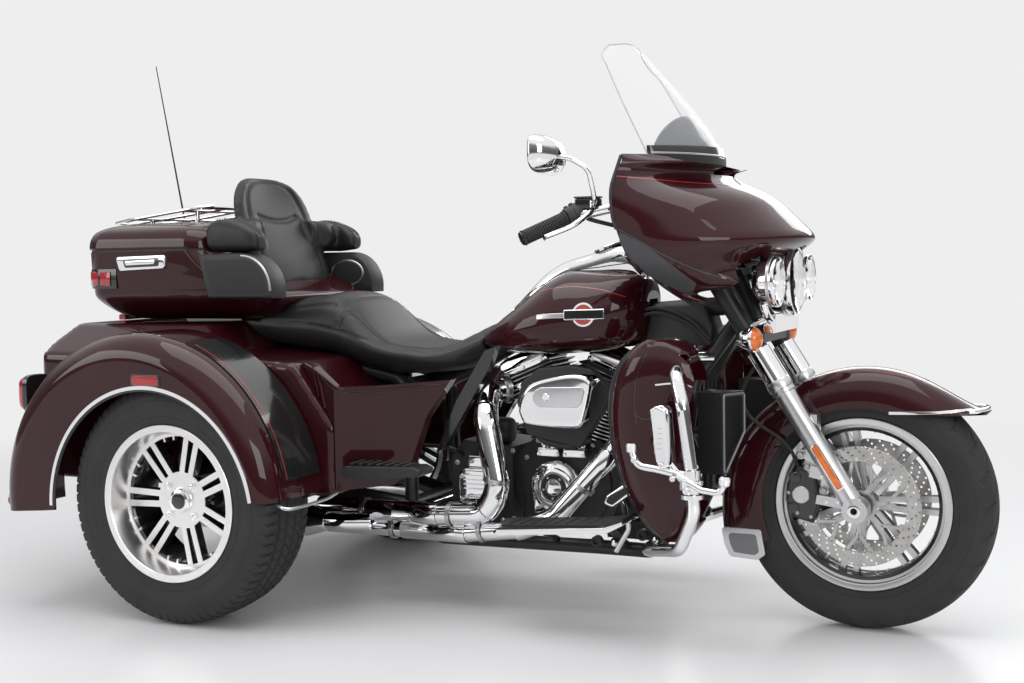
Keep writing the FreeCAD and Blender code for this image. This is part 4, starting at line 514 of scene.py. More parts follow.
def make_finishes():
    """Every material, named as the record's slots where it has one."""
    finish("paint", (0.030, 0.0026, 0.0052), 0.42, 0.0, shade=0.10, grain=0.01, grain_size=2500,
           Coat_Weight=1.0, Coat_Roughness=0.012, Coat_IOR=1.4, Specular_IOR_Level=0.06)
    finish("black_gloss", (0.012, 0.012, 0.013), 0.18, shade=0.15, grain=0.02, grain_size=60,
           Coat_Weight=0.6, Coat_Roughness=0.03)
    finish("black_plastic", (0.022, 0.022, 0.023), 0.5, shade=0.15, grain=0.25, grain_size=1500)
    finish("chrome", (0.86, 0.86, 0.87), 0.05, 1.0, shade=0.02, spread=0.02, grain=0.01, grain_size=40)
    finish("satin_metal", (0.66, 0.66, 0.67), 0.32, 1.0, shade=0.05, grain=0.08, grain_size=900)
    finish("rim_metal", (0.86, 0.85, 0.84), 0.3, 1.0, shade=0.03, grain=0.05, grain_size=1200)
    finish("black_metal", (0.018, 0.018, 0.019), 0.36, 0.2, shade=0.2, grain=0.06, grain_size=700)
    finish("engine_black", (0.022, 0.022, 0.023), 0.5, 0.2, shade=0.2, grain=0.35, grain_size=900)
    finish("steel", (0.52, 0.51, 0.49), 0.3, 1.0, shade=0.12, shade_size=25, spread=0.08, grain=0.12,
           grain_size=600)
    finish("tyre", (0.020, 0.020, 0.021), 0.72, shade=0.18, shade_size=12, grain=0.25, grain_size=1800)
    finish("rubber", (0.018, 0.018, 0.018), 0.62, shade=0.15, grain=0.2, grain_size=1500)
    finish("leather", (0.013, 0.0126, 0.0128), 0.44, shade=0.22, shade_size=9, spread=0.07, grain=0.35,
           grain_size=520, cells=True, Specular_IOR_Level=0.42)
    finish("clear_screen", (0.80, 0.82, 0.85), 0.05, shade=0.01, spread=0.01, Alpha=0.09,
           Specular_IOR_Level=0.12)
    finish("screen_edge", (0.50, 0.52, 0.55), 0.3, shade=0.05, Alpha=0.55)
    finish("radiator_grey", (0.22, 0.22, 0.23), 0.42, 0.6, shade=0.08, grain=0.05, grain_size=900)
    finish("dark_panel", (0.06, 0.06, 0.064), 0.5, 0.2, shade=0.08, grain=0.04, grain_size=1500)
    finish("mirror_glass", (0.75, 0.77, 0.78), 0.02, 1.0, shade=0.01, spread=0.01)
    finish("red_lens", (0.36, 0.006, 0.008), 0.14, shade=0.15, shade_size=60, spread=0.03, grain=0.5,
           grain_size=160, cells=True, Coat_Weight=1.0, Coat_Roughness=0.02)
    finish("amber_lens", (0.75, 0.16, 0.01), 0.16, shade=0.12, shade_size=60, spread=0.03, grain=0.4,
           grain_size=180, cells=True, Coat_Weight=1.0, Coat_Roughness=0.02)
    finish("lamp_glass", (0.98, 0.98, 0.98), 0.02, shade=0.005, spread=0.01, Transmission_Weight=1.0,
           IOR=1.2)
    finish("smoked_screen", (0.045, 0.045, 0.05), 0.1, shade=0.1, spread=0.03, Alpha=0.72)
    finish("pinstripe", (0.42, 0.025, 0.02), 0.3, shade=0.1, Coat_Weight=1.0, Coat_Roughness=0.02)


def dress_cad_nodes():
    """Give every CAD node the finish of its slot in the record."""
    for part in frame["record"]["subparts"]:
        item = frame["nodes"][part["node"]]
        material = FINISH[part["material_slot"]]
        if not item.material_slots:
            item.data.materials.append(material)
        for place in item.material_slots:
            place.material = material


# Wheels

REAR_TYRE_RADIUS, REAR_HALF_WIDTH, REAR_BEAD, REAR_BEAD_HALF, REAR_FLANGE = 323.5, 102.5, 196, 89, 208
FRONT_TYRE_RADIUS, FRONT_HALF_WIDTH, FRONT_BEAD, FRONT_BEAD_HALF, FRONT_FLANGE = 320, 65, 204, 47, 218
SPOKE_PAIRS = 7
REAR_TREAD_BLOCKS, FRONT_TREAD_BLOCKS = 72, 26
DISC_ARMS, DISC_ARM_SPREAD = 7, 0.26
REAR_SPOKE_START = math.radians(25.7)


def tyre_points(half, radius, bead, bead_half, flange, crown_drop, tread_half, across):
    """A tyre's smooth outer profile from one bead to the other, as (along, radius, share of tread)."""
    height = radius - bead
    shoulder = [(bead_half, bead), (bead_half + 1, flange + 1), (bead_half + 7, flange + 3),
                (half - 4, bead + height * 0.33), (half, bead + height * 0.47),
                (half * 0.985, bead + height * 0.66), ((half + tread_half) / 2, radius - crown_drop * 2.2),
                (tread_half, radius - crown_drop)]
    side = [(p.x, p.y) for p in smooth_path([(a, r, 0) for a, r in shoulder], 3)]
    tread = [tread_half * (1 - 2 * n / across) for n in range(1, across)]
    crown = [(a, radius - crown_drop * (a / tread_half) ** 2) for a in tread]
    return side + crown + [(-a, r) for a, r in reversed(side)]


def rear_groove(along, angle, side):
    """How deep the rear tread is cut at a place: four ribs with slanting sipes and shoulder blocks."""
    reach = abs(along)
    if min(abs(reach - 18), abs(reach - 50)) < 4.2:
        return 6.5
    pitch = 2 * math.pi / REAR_TREAD_BLOCKS
    if reach > 56:
        slant = along * side * 0.0011
        return 5.0 if (angle + slant * 0.4) % pitch < pitch * 0.22 and reach < 98 else 0.0
    lean = 0.0022 * along
    return 3.5 if (angle + lean) % pitch < pitch * 0.14 and not 24 < reach < 30 else 0.0


def front_groove(along, angle, side):
    """How deep the front tread is cut at a place: long slanting grooves, mirrored half a pitch apart."""
    reach = abs(along)
    pitch = 2 * math.pi / FRONT_TREAD_BLOCKS
    shift = pitch / 2 if along * side > 0 else 0.0
    centre = 0.0042 * reach + (0.0016 * max(reach - 34, 0))
    phase = (angle + shift + centre) % pitch
    if 7 < reach < 57 and phase < pitch * 0.085:
        return 4.5
    branch = (angle + shift + centre * 0.35 + pitch * 0.55) % pitch
    return 3.5 if 30 < reach < 58 and branch < pitch * 0.07 else 0.0


def tyre(name, centre, profile, groove, segments, body, side, node):
    """A tyre whose tread is cut by a rule, with an inner wall that closes it at the beads."""
    outer = [(a, r) for a, r in profile]
    inner = [(-outer[0][0], outer[0][1]), (-outer[0][0] + 4, outer[0][1] + 12),
             (outer[0][0] - 4, outer[0][1] + 12)]
    count = len(outer) + len(inner)
    top = max(r for a, r in outer)
    points = []
    for n in range(segments):
        angle = 2 * math.pi * n / segments
        for a, r in outer:
            cut = groove(a, angle, side) if top - r < 26 else 0.0
            points.append(Vector(((r - cut) * math.cos(angle), a, (r - cut) * math.sin(angle))))
        points += [Vector((r * math.cos(angle), a, r * math.sin(angle))) for a, r in inner]
    faces = []
    for n in range(segments):
        here, after = n * count, (n + 1) % segments * count
        faces += [(here + i, here + (i + 1) % count, after + (i + 1) % count, after + i)
                  for i in range(count)]
    shape = ([p + Vector(centre) for p in points], faces)
    sidewall = sidewall_rings(profile, centre)
    return piece(name, merged(shape, sidewall), "tyre", body, stands_for=(node,), corner=28)


def sidewall_rings(profile, centre):
    """Two fine raised rings on each sidewall, where a real tyre has its fitting lines."""
    rings = []
    for a, r in (profile[8], profile[14]):
        for sign in (-1, 1):
            ring = lathe([(-1, r - 2), (0.8, r), (-1, r + 2)], 120)
            rings.append(placed((ring[0], ring[1][:-2]), Vector(centre) + Vector((0, sign * a, 0)),
                                (0, sign, 0)))
    return merged(*rings)


def bar(start, end, start_width, end_width, low_y, high_y):
    """A flat bar between two (x, z) points, with its own width at each end."""
    start, end = Vector(start), Vector(end)
    run = (end - start).normalized()
    side = Vector((-run.y, run.x))
    outline = [start - side * start_width / 2, start + side * start_width / 2, end + side * end_width / 2,
               end - side * end_width / 2]
    return prism([tuple(p) for p in outline], low_y, high_y)


def spokes(centre, face_y, back_y, start, inner, outer, width, gap_in, gap_out):
    """Seven pairs of straight bars from hub to rim."""
    pair = []
    for sign in (-1, 1):
        foot = (centre[0] + inner, centre[2] + sign * gap_in / 2)
        tip = (centre[0] + outer, centre[2] + sign * gap_out / 2)
        pair.append(bar(foot, tip, width, width, min(face_y, back_y), max(face_y, back_y)))
    return repeated(merged(*pair), centre, LEFT, SPOKE_PAIRS, -start)


def rear_wheel(side, sign):
    """A rear wheel: sign is -1 on the right, where the wheel's face looks along -Y."""
    body = "rear_wheel_" + side
    centre = middle_of("rear_tyre_" + side)
    out = (0, sign, 0)
    profile = tyre_points(REAR_HALF_WIDTH, REAR_TYRE_RADIUS, REAR_BEAD, REAR_BEAD_HALF, REAR_FLANGE, 6, 80,
                          58)
    tyre("tyre_rear_" + side, centre, profile, rear_groove, 720, body, sign, "rear_tyre_" + side)
    half = 99
    barrel = [(-half, 207), (-half + 8, 207), (-half + 12, 195), (half - 12, 195), (half - 7, 207.5),
              (half - 1.5, 208), (half, 206.5), (half, 189), (half - 2, 187.5), (44, 178), (40, 178),
              (40, 171), (36, 171), (36, 182), (-half + 14, 184), (-half, 192)]
    piece("rim_%s_barrel" % body, turned(barrel, 144, centre, out, closed=True), "rim_metal", body,
          stands_for=("rear_rim_" + side,), corner=25)
    dark = [(35.5, 181.5), (35.5, 172), (30, 168), (-half + 16, 176), (-half + 16, 181.5)]
    piece("rim_%s_pocket" % body, turned(dark, 120, centre, out, closed=True), "black_gloss", body)
    face, back = centre[1] + sign * 36, centre[1] + sign * 8
    arms = spokes(centre, face - sign * 1.2, back, REAR_SPOKE_START, 50, 176, 18.5, 27, 35)
    drum = lathe([(8, 72), (33, 77), (34.8, 76.5), (34.8, 30), (8, 30)], 96, closed=True)
    neck = lathe([(-58, 40), (-30, 52), (9, 60), (9, 22), (-58, 22)], 72, closed=True)
    piece("rim_%s_spokes" % body, merged(arms, placed(drum, centre, out), placed(neck, centre, out)),
          "black_gloss", body, bevel=1.5)
    faces = spokes(centre, face, face - sign * 1.4, REAR_SPOKE_START, 70, 177, 16.5, 28, 35)
    notch = merged(*[bar((centre[0] + 160, centre[2] + s * 15), (centre[0] + 174, centre[2] + s * 17), 6, 6,
                         min(face, face - sign * 12), max(face, face - sign * 12)) for s in (-1, 1)])
    notches = repeated(notch, centre, LEFT, SPOKE_PAIRS, -REAR_SPOKE_START - math.pi / SPOKE_PAIRS)
    hub = turned([(34.5, 76), (36.6, 75), (36.6, 30), (34.5, 30)], 96, centre, out, closed=True)
    piece("rim_%s_faces" % body, merged(faces, notches, hub), "rim_metal", body, bevel=0.5)
    nuts = []
    for n in range(4):
        angle = math.pi / 4 + n * math.pi / 2
        at = Vector(centre) + Vector((math.cos(angle) * 55, sign * 36, math.sin(angle) * 55))
        nuts.append(turned([(0, 13), (1.6, 13), (1.6, 11), (-3, 10.5), (-3, 2)], 32, at, out))
        nuts.append(placed(lathe([(0, 9.2), (7, 9.2), (9.5, 7.4), (11, 3.4), (11, 0.3)], 6), at, out, 0.3))
    dome = lathe([(30, 36), (37, 35), (44, 33.5), (50, 29.5), (52.5, 23), (51.5, 21.5), (30, 21)], 72,
                 closed=True)
    nuts.append(placed(dome, centre, out))
    piece("rim_%s_nuts" % body, merged(*nuts), "chrome", body)
    badge = lathe([(40, 21.6), (50.5, 21.4), (51.8, 18), (52.4, 10), (52.6, 0.3)], 48)
    piece("rim_%s_cap" % body, placed(badge, centre, out), "black_gloss", body)


def perforated_ring(inner, outer, rows, columns, hole, thickness):
    """A brake ring about +Z, each cell of its grid either plain or with a round hole right through."""
    points, faces = [], []
    sides = 12
    step = 2 * math.pi / columns
    height = (outer - inner) / rows

    def at(radius, angle, level):
        return Vector((radius * math.cos(angle), radius * math.sin(angle), level))
    for row in range(rows):
        for column in range(columns):
            low, high = inner + row * height, inner + (row + 1) * height
            a, b = column * step, (column + 1) * step
            middle_radius, middle_angle = (low + high) / 2, (a + b) / 2
            square = []
            for n in range(sides):
                turn = 2 * math.pi * (n + 0.5) / sides
                c, s = math.cos(turn), math.sin(turn)
                far = max(abs(c), abs(s))
                square.append((middle_radius + c / far * height / 2, middle_angle + s / far * step / 2))
            circle = []
            for n in range(sides):
                turn = 2 * math.pi * (n + 0.5) / sides
                circle.append((middle_radius + math.cos(turn) * hole,
                               middle_angle + math.sin(turn) * hole / middle_radius))
            base = len(points)
            drilled = (column + row) % 3 == 0
            for level in (-thickness / 2, thickness / 2):
                points += [at(r, t, level) for r, t in square] + [at(r, t, level) for r, t in circle]
            for n in range(sides):
                m = (n + 1) % sides
                front, back = base + 2 * sides, base
                faces.append((back + n, back + sides + n, back + sides + m, back + m))
                faces.append((front + n, front + m, front + sides + m, front + sides + n))
                if drilled:
                    faces.append((back + sides + n, front + sides + n, front + sides + m, back + sides + m))
            if not drilled:
                faces.append(tuple(base + sides + n for n in range(sides)))
                faces.append(tuple(base + 3 * sides + n for n in reversed(range(sides))))
    rims = []
    for radius in (inner, outer):
        wall = [[at(radius, step * n / 2, level) for n in range(2 * columns)]
                for level in (-thickness / 2, thickness / 2)]
        rims.append(skin(wall, caps=False))
    return merged((points, faces), *rims)


def front_wheel():
    """The steered wheel: tyre, machined ring, seven pairs of spokes, hub and discs."""
    body = "front_wheel"
    centre = middle_of("front_tyre")
    profile = tyre_points(FRONT_HALF_WIDTH, FRONT_TYRE_RADIUS, FRONT_BEAD, FRONT_BEAD_HALF, FRONT_FLANGE, 9,
                          43, 40)
    tyre("tyre_front", centre, profile, front_groove, 900, body, 1, "front_tyre")
    half_rim = [(-56, 205), (-56, 216), (-54.5, 218), (-51, 218), (-47, 205), (47, 205), (51, 218),
                (54.5, 218), (56, 216), (56, 205), (54, 200.5), (48, 199), (42, 199), (40, 193), (-40, 193),
                (-42, 199), (-48, 199), (-54, 200.5)]
    piece("rim_front_ring", turned(half_rim, 144, centre, LEFT, closed=True), "satin_metal", body,
          stands_for=("front_rim",), corner=25)
    pocket = [(-41, 198.6), (-36, 184), (-12, 180), (12, 180), (36, 184), (41, 198.6)]
    piece("rim_front_pocket", turned(pocket, 120, centre, LEFT, closed=True), "black_gloss", body)
    for name, level, depth, width, colour in (("arms", 13, -13, 16, "black_gloss"),
                                              ("right", -14.2, -12.8, 14.5, "satin_metal"),
                                              ("left", 12.8, 14.2, 14.5, "satin_metal")):
        arms = spokes(centre, centre[1] + level, centre[1] + depth, 0, 34, 186, width, 19, 34)
        piece("rim_front_spokes_" + name, arms, colour, body, bevel=0.8)
    notch = merged(*[bar((centre[0] + 178, centre[2] + s * 15), (centre[0] + 190, centre[2] + s * 16), 4, 4,
                         -15, 15) for s in (-1, 1)])
    piece("rim_front_notches", repeated(notch, centre, LEFT, SPOKE_PAIRS, math.pi / SPOKE_PAIRS),
          "satin_metal", body)
    hub = [(-75.5, 36), (-70, 40), (-60, 38), (-30, 32), (30, 32), (60, 38), (70, 40), (75.5, 36),
           (75.5, 14), (-75.5, 14)]
    piece("hub_front", turned(hub, 72, centre, LEFT, closed=True), "satin_metal", body)
    front_discs(centre)


def front_discs(centre):
    """Two pierced rings, each on seven forked arms with rivets."""
    body = "front_wheel"
    discs, carriers = [], []
    for sign in (-1, 1):
        at = Vector(centre) + Vector((0, sign * 78, 0))
        discs.append(placed(perforated_ring(114, 149.5, 4, 90, 3.1, 5), at, LEFT))
        ring = lathe([(-2.4, 40), (2.4, 40), (2.4, 19), (-2.4, 19)], 60, closed=True)
        carriers.append(placed(ring, at, LEFT))
        for n in range(DISC_ARMS):
            turn = 2 * math.pi * n / DISC_ARMS + 0.2
            fork = Vector((math.cos(turn), 0, math.sin(turn)))
            mid = (at[0] + fork.x * 68, at[2] + fork.z * 68)
            root = (at[0] + fork.x * 36, at[2] + fork.z * 36)
            carriers.append(bar(root, mid, 14, 9, at[1] - 2.6, at[1] + 2.6))
            for lean in (-DISC_ARM_SPREAD, DISC_ARM_SPREAD):
                tip_x, tip_z = math.cos(turn + lean) * 112, math.sin(turn + lean) * 112
                carriers.append(bar(mid, (at[0] + tip_x, at[2] + tip_z), 8, 9, at[1] - 2.6, at[1] + 2.6))
            far = turn + DISC_ARM_SPREAD
            rivet = at + Vector((math.cos(far) * 112, 0, math.sin(far) * 112))
            for face in (-1, 1):
                eye = lathe([(0, 9), (3.6, 9), (4.2, 8), (4.2, 5), (2, 4.6), (2, 0.3)], 24)
                carriers.append(placed(eye, rivet, (0, face, 0)))
    piece("discs_front", merged(*discs), "steel", body, stands_for=("front_discs",), corner=30)
    piece("disc_carriers_front", merged(*carriers), "steel", body, bevel=0.6)


# Body

ARCH_CENTRE, ARCH_RADIUS = (-40, 303), 320
BODY_CELL = 11
FENDER_Y, GUARD_Y, COVER_Y = -690, -606, -452


def level_ring(low_x, high_x, half, level, corner, count=16):
    """A level rectangle with round corners, each corner an arc of count + 1 points."""
    corner = min(corner, half * 0.95, (high_x - low_x) * 0.45)
    ring = []
    for cx, cy, start in ((high_x - corner, half - corner, 0), (low_x + corner, half - corner, 90),
                          (low_x + corner, -half + corner, 180), (high_x - corner, -half + corner, 270)):
        for n in range(count + 1):
            turn = math.radians(start + 90 * n / count)
            ring.append(Vector((cx + corner * math.cos(turn), cy + corner * math.sin(turn), level)))
    return ring


def smooth_levels(levels, steps):
    """Rows of numbers made into a smooth run of rows through all of them."""
    ends = [[2 * a - b for a, b in zip(levels[0], levels[1])]] + [list(level) for level in levels]
    ends.append([2 * a - b for a, b in zip(levels[-1], levels[-2])])
    rows = []
    for a, b, c, d in zip(ends, ends[1:], ends[2:], ends[3:]):
        for n in range(steps):
            t = n / steps
            rows.append([0.5 * (2 * q + (r - p) * t + (2 * p - 5 * q + 4 * r - s) * t * t
                                + (3 * q - p - 3 * r + s) * t * t * t)
                         for p, q, r, s in zip(a, b, c, d)])
    return rows + [list(levels[-1])]


def body_panels():
    """The painted rear body, its arches' trim, the side covers' ribs and the side markers."""
    shell = melted("body_shell", frame["nodes"]["rear_body"].data.copy(), BODY_CELL)
    shell.data.shade_smooth()
    dressed(shell, "paint", "chassis", ["rear_body"])
    arch = at_y(FENDER_Y, oval(ARCH_CENTRE, ARCH_RADIUS + 7, ARCH_RADIUS + 7, sweep(180, 6, -4)))
    piece("arch_trim", both(line_on("rear_fenders", arch, LEFT, 12, 4.5, 2)), "chrome")
    lip = at_y(-694.6, oval(ARCH_CENTRE, ARCH_RADIUS - 1, ARCH_RADIUS - 1, sweep(181, 5, -4)))
    piece("arch_edge", both(tube(smooth_path(lip, 2), 3.2, 8)), "black_plastic")
    guard = [(130, 790), (225, 720), (302, 620), (345, 500), (362, 386)]
    outer = line_on("stone_guards", at_y(GUARD_Y, guard), (-0.8, 0, -0.6), 3, 0.8)
    piece("guard_stripe", both(outer), "pinstripe")
    ribs = []
    for shift in (0, 15):
        rib = at_y(COVER_Y, [(300 + shift, 668), (322 + shift, 590), (340 + shift, 500),
                             (346 + shift, 352)])
        ribs.append(line_on("side_covers", rib, LEFT, 7, 5))
    piece("side_cover_ribs", both(merged(*ribs)), "paint", bevel=1.0)
    raised = at_y(COVER_Y, [(262, 676), (318, 655), (384, 616), (450, 604), (590, 608)])
    piece("side_cover_lip", both(line_on("side_covers", raised, LEFT, 9, 5)), "paint", bevel=1.2)
    seal = line_on("side_covers", [(x, y, z - 7) for x, y, z in raised], LEFT, 3, 0.8)
    piece("side_cover_seal", both(seal), "black_plastic")
    foot = [(322, -640, 338), (366, -640, 329), (374, -500, 329), (381, -446, 339)]
    piece("guard_foot_strip", both(tube(smooth_path(foot, 6), 4.5, 8)), "satin_metal")
    marker = rounded_outline([(-82, 632), (14, 632), (14, 664), (-82, 664)], 6)
    piece("side_marker_frame", both(crowned(marker, -690, -697.6, 2)), "black_gloss")
    lens = rounded_outline([(-77, 636), (9, 636), (9, 660), (-77, 660)], 5)
    piece("side_marker_lens", both(crowned(lens, -696, -698.2, 1.2)), "red_lens")
    rear_lamps()


def rear_lamps():
    """Tail lamps, low reflectors and the lit strip of the deck."""
    mid_y, mid_z = -565, 590
    rings = []
    for n in range(7):
        share = n / 6
        drawn = 1 - 0.16 * share ** 3
        square = [squarish(turn, 0.45) for turn in even_turns(40)]
        rings.append([(-535 - 30 * share, mid_y + y * 43 * drawn, mid_z + z * 50 * drawn)
                      for y, z in square])
    piece("tail_lamp_lens", both(skin(rings)), "red_lens", stands_for=("tail_lamps",))
    around = [(x, mid_y + (y - mid_y) * 1.08, mid_z + (z - mid_z) * 1.07) for x, y, z in rings[0]]
    case = skin([[(x + shift, y, z) for x, y, z in around] for shift in (9, -8)])
    piece("tail_lamp_frame", both(case), "black_gloss", bevel=2)
    strip = [(-590.5, 776), (-590.5, 790), (-586, 793.5), (-566, 793.5), (-566, 776)]
    piece("deck_lamp", prism(strip, -150, 150), "red_lens", bevel=1.5)
    round_lens = lathe([(0, 21), (5, 21), (7, 18), (7.6, 0.4)], 32)
    reflectors = [placed(round_lens, (-556, y, 300), BACK) for y in (-640, 640)]
    piece("rear_reflectors", merged(*reflectors), "red_lens")


# Luggage box

BOX_LEVELS = [(-540, 0, 176, 782, 60), (-566, 30, 232, 806, 64), (-592, 62, 282, 846, 68),
              (-598, 6, 289, 880, 70), (-601, -92, 292, 930, 70), (-602, -150, 294, 984, 70)]
LID_LEVELS = [(-604, -150, 296, 992, 70), (-605, -151, 296, 1000, 70), (-602, -153, 293, 1022, 72),
              (-592, -166, 280, 1044, 76), (-566, -194, 246, 1060, 84), (-520, -232, 196, 1069, 90),
              (-440, -310, 110, 1071, 70)]


def lofted(levels, steps=4):
    """A form of level rectangles with round corners, smooth through its rows of sizes."""
    return skin([level_ring(*row) for row in smooth_levels(levels, steps)])


def luggage_box():
    """The box and its lid with hinges, latch and corner lamps."""
    piece("box_shell", lofted(BOX_LEVELS), "paint", stands_for=("top_box",), corner=50)
    seal = skin([level_ring(-600, -154, 291, 983, 68), level_ring(-600, -154, 291, 991.4, 68)])
    piece("box_seal", seal, "black_plastic")
    cover = piece("lid_shell", lofted(LID_LEVELS), "paint", "box_lid", stands_for=("top_box_lid",),
                  corner=50)
    carved(cover, block((-213, -166, 940), (-60, 166, 1200)))
    hollow = skin([level_ring(-596, -158, 288, 980, 64), level_ring(-596, -160, 288, 1020, 64),
                   level_ring(-560, -200, 240, 1052, 70)])
    carved(cover, hollow)
    box_hinges()
    plate = rounded_outline([(-452, 928), (-284, 934), (-280, 974), (-466, 970)], 9)
    piece("box_latch_plate", crowned(plate, -286, -300.5, 3), "chrome")
    recess = rounded_outline([(-430, 937), (-304, 941), (-302, 966), (-438, 962)], 7)
    piece("box_latch_recess", crowned(recess, -299, -301, 0.8), "black_gloss")
    grip = rounded_outline([(-424, 944), (-318, 947), (-316, 961), (-430, 957)], 5)
    piece("box_latch_handle", crowned(grip, -300, -304, 1.6), "chrome")
    turns = sweep(186, 268, 8)
    for name, finish_name, low, high, reach, seen, end_x in (
            ("box_lamp_case", "black_gloss", 876, 934, 1.6, turns, -470),
            ("box_lamp_lens", "red_lens", 884, 927, 4.2, turns[1:-2], -492)):
        lamps = [corner_lamp(sign, low, high, reach, seen, end_x) for sign in (-1, 1)]
        piece(name, merged(*lamps), finish_name)
    pods()


def box_hinges():
    """Two hinges on the lid's left edge: a pin and outer knuckles on the box, a middle one on the lid."""
    fixed, moving = [], []
    for x in (-480, -280):
        at = (x, 306, 988)
        for knuckle in ([(-45, 3), (-45, 7), (-15.5, 7), (-15, 3)], [(15, 3), (15.5, 7), (45, 7), (45, 3)]):
            fixed.append(turned(knuckle, 20, at, AHEAD, closed=True))
        fixed.append(turned([(-46, 2.9), (46, 2.9)], 16, at, AHEAD))
        fixed += [block((x + a, 288, 972), (x + a + 29, 306, 984)) for a in (-45, 16)]
        knuckle = [(-14.6, 3.1), (-14.6, 7), (14.6, 7), (14.6, 3.1)]
        moving.append(turned(knuckle, 20, at, AHEAD, closed=True))
        moving.append(block((x - 14, 292, 992.4), (x + 14, 306, 998)))
    piece("box_hinges_fixed", merged(*fixed), "chrome", bevel=0.6)
    piece("box_hinges_moving", merged(*moving), "chrome", "box_lid", bevel=0.6)


def corner_lamp(sign, low, high, reach, turns, end_x):
    """A lamp's skin round a rear corner of the box, standing out by reach, with a straight end forward."""
    corner_x, corner_y, radius = -532, 222, 70
    rings = []
    for level, extra in ((low + 2, 0), (low, reach * 0.6), (low + 3, reach), (high - 3, reach),
                         (high, reach * 0.6), (high - 2, 0)):
        out = radius + extra
        arc = [(corner_x - out * abs(math.cos(t)), sign * (corner_y + out * abs(math.sin(t))), level)
               for t in turns]
        rings.append(arc + [(end_x, sign * (corner_y + out), level)])
    return skin(rings, around=False, caps=False)


def pods():
    """Speaker housings with a grey front edge, a seam and a round grille."""
    outline = [(-126, 847), (-156, 973), *oval((-6, 868), 102, 105, sweep(90, -1, -9)), (95, 847)]
    shell = layered(outline, ((-232, 8), (-234, 3), (-240, 0), (-300, 0), (-304, 1), (-308, 4),
                              (-309.5, 9)))
    piece("pod_shell", both(shell), "black_plastic", stands_for=("speaker_pods",), corner=40)
    piece("pod_edge", both(tube(at_y(-307, inset(outline, 6)[2:-1]), 3.2, 8)), "satin_metal")
    face = rounded_outline([(-112, 862), (-138, 958), (4, 958), (40, 946), (66, 918), (78, 884), (79, 862)],
                           9)
    piece("pod_panel", both(crowned(face, -308, -310, 1.2)), "rubber", corner=50)
    for name, reach_x, reach_z, base, front, edge, finish_name in (
            ("speaker_rings", 60, 42, 236, 229, 3, "satin_metal"), ("speaker_cones", 54, 36, 231, 227.5,
                    1.5, "rubber")):
        outline = oval((6, 908), reach_x, reach_z, even_turns(48))
        piece(name, both(crowned(outline, base, front, edge)), finish_name)


# Seat and backrest

PAD_ROWS = [(862, 214, -8, 60, 0), (905, 216, -18, 62, 0), (950, 214, -32, 62, 4), (1000, 210, -56, 62, 10),
            (1040, 208, -76, 62, 16), (1090, 202, -100, 60, 26), (1130, 190, -118, 56, 34),
            (1165, 166, -131, 50, 36), (1188, 138, -139, 44, 32), (1202, 104, -145, 34, 20),
            (1210, 62, -149, 20, 8)]
ARM_ROWS = [(-141, 26, 992, 1052), (-136, 36, 984, 1066), (-100, 40, 978, 1078), (-50, 40, 976, 1072),
            (0, 39, 976, 1056), (26, 34, 977, 1040), (38, 22, 982, 1024)]
WING_ROWS = [(-120, -118, -52, 975, 1075), (-180, -124, -34, 972, 1072), (-225, -130, -22, 976, 1070),
             (-262, -134, -14, 984, 1066)]
CUSHION_CELL, CUSHION_SHRINK, CUSHION_SWELL = 6, 3, 6
CUSHION_PRESSURE, CLOTH_FRAMES = 3.0, 18
SEAM_CAST_DEPTH = 250


def backrest_form():
    """A pad that is broad up to its domed top and wraps forward, and plump arm rests joined to it."""
    pad = []
    for z, half, front, depth, wrap in smooth_levels(PAD_ROWS, 3):
        ring = []
        for turn in even_turns(48):
            across = squarish(turn, 0.85)[0]
            through = squarish(turn, 0.75)[1] * (1 - 0.45 * abs(across) ** 3)
            ring.append((front - depth / 2 + through * depth / 2 + wrap * across * across, half * across,
                         z))
        pad.append(ring)
    arm = []
    for x, half, low, high in smooth_levels(ARM_ROWS, 3):
        section = [squarish(turn, 0.75) for turn in even_turns(32)]
        arm.append([(x, -262 + half * c, (low + high) / 2 + (high - low) / 2 * s) for c, s in section])
    wing = []
    for y, rear, front, low, high in WING_ROWS:
        section = [squarish(turn, 0.6) for turn in even_turns(32)]
        wing.append([((rear + front) / 2 + (front - rear) / 2 * c, y,
                      (low + high) / 2 + (high - low) / 2 * s) for c, s in section])
    return mesh_of("backrest_form", merged(skin(pad), both(skin(arm)), both(skin(wing))))


def sewn_form(node, name, mesh):
    """A cushion blown up a little from its form by a cloth run, whose result stays in the mesh."""
    item = melted(name, mesh, CUSHION_CELL)
    for vertex, normal in zip(item.data.vertices, [v.normal.copy() for v in item.data.vertices]):
        vertex.co -= normal * CUSHION_SHRINK * MM
    start = [v.co.copy() for v in item.data.vertices]
    cloth = item.modifiers.new("cloth", "CLOTH")
    cloth.settings.use_pressure = True
    cloth.settings.uniform_pressure_force = CUSHION_PRESSURE
    cloth.settings.effector_weights.gravity = 0
    cloth.settings.quality = 5
    cloth.point_cache.frame_start = 1
    cloth.point_cache.frame_end = CLOTH_FRAMES
    for number in range(1, CLOTH_FRAMES + 1):
        bpy.context.scene.frame_set(number)
    swollen = applied(item)
    item.modifiers.clear()
    bpy.context.scene.frame_set(1)
    for vertex, place, blown in zip(item.data.vertices, start, [v.co.copy() for v in swollen.vertices]):
        move = blown - place
        vertex.co = place + move * min(1, CUSHION_SWELL * MM / max(move.length, 1e-9))
    item.data.shade_smooth()
    dressed(item, "leather", "chassis", [node])
    return item


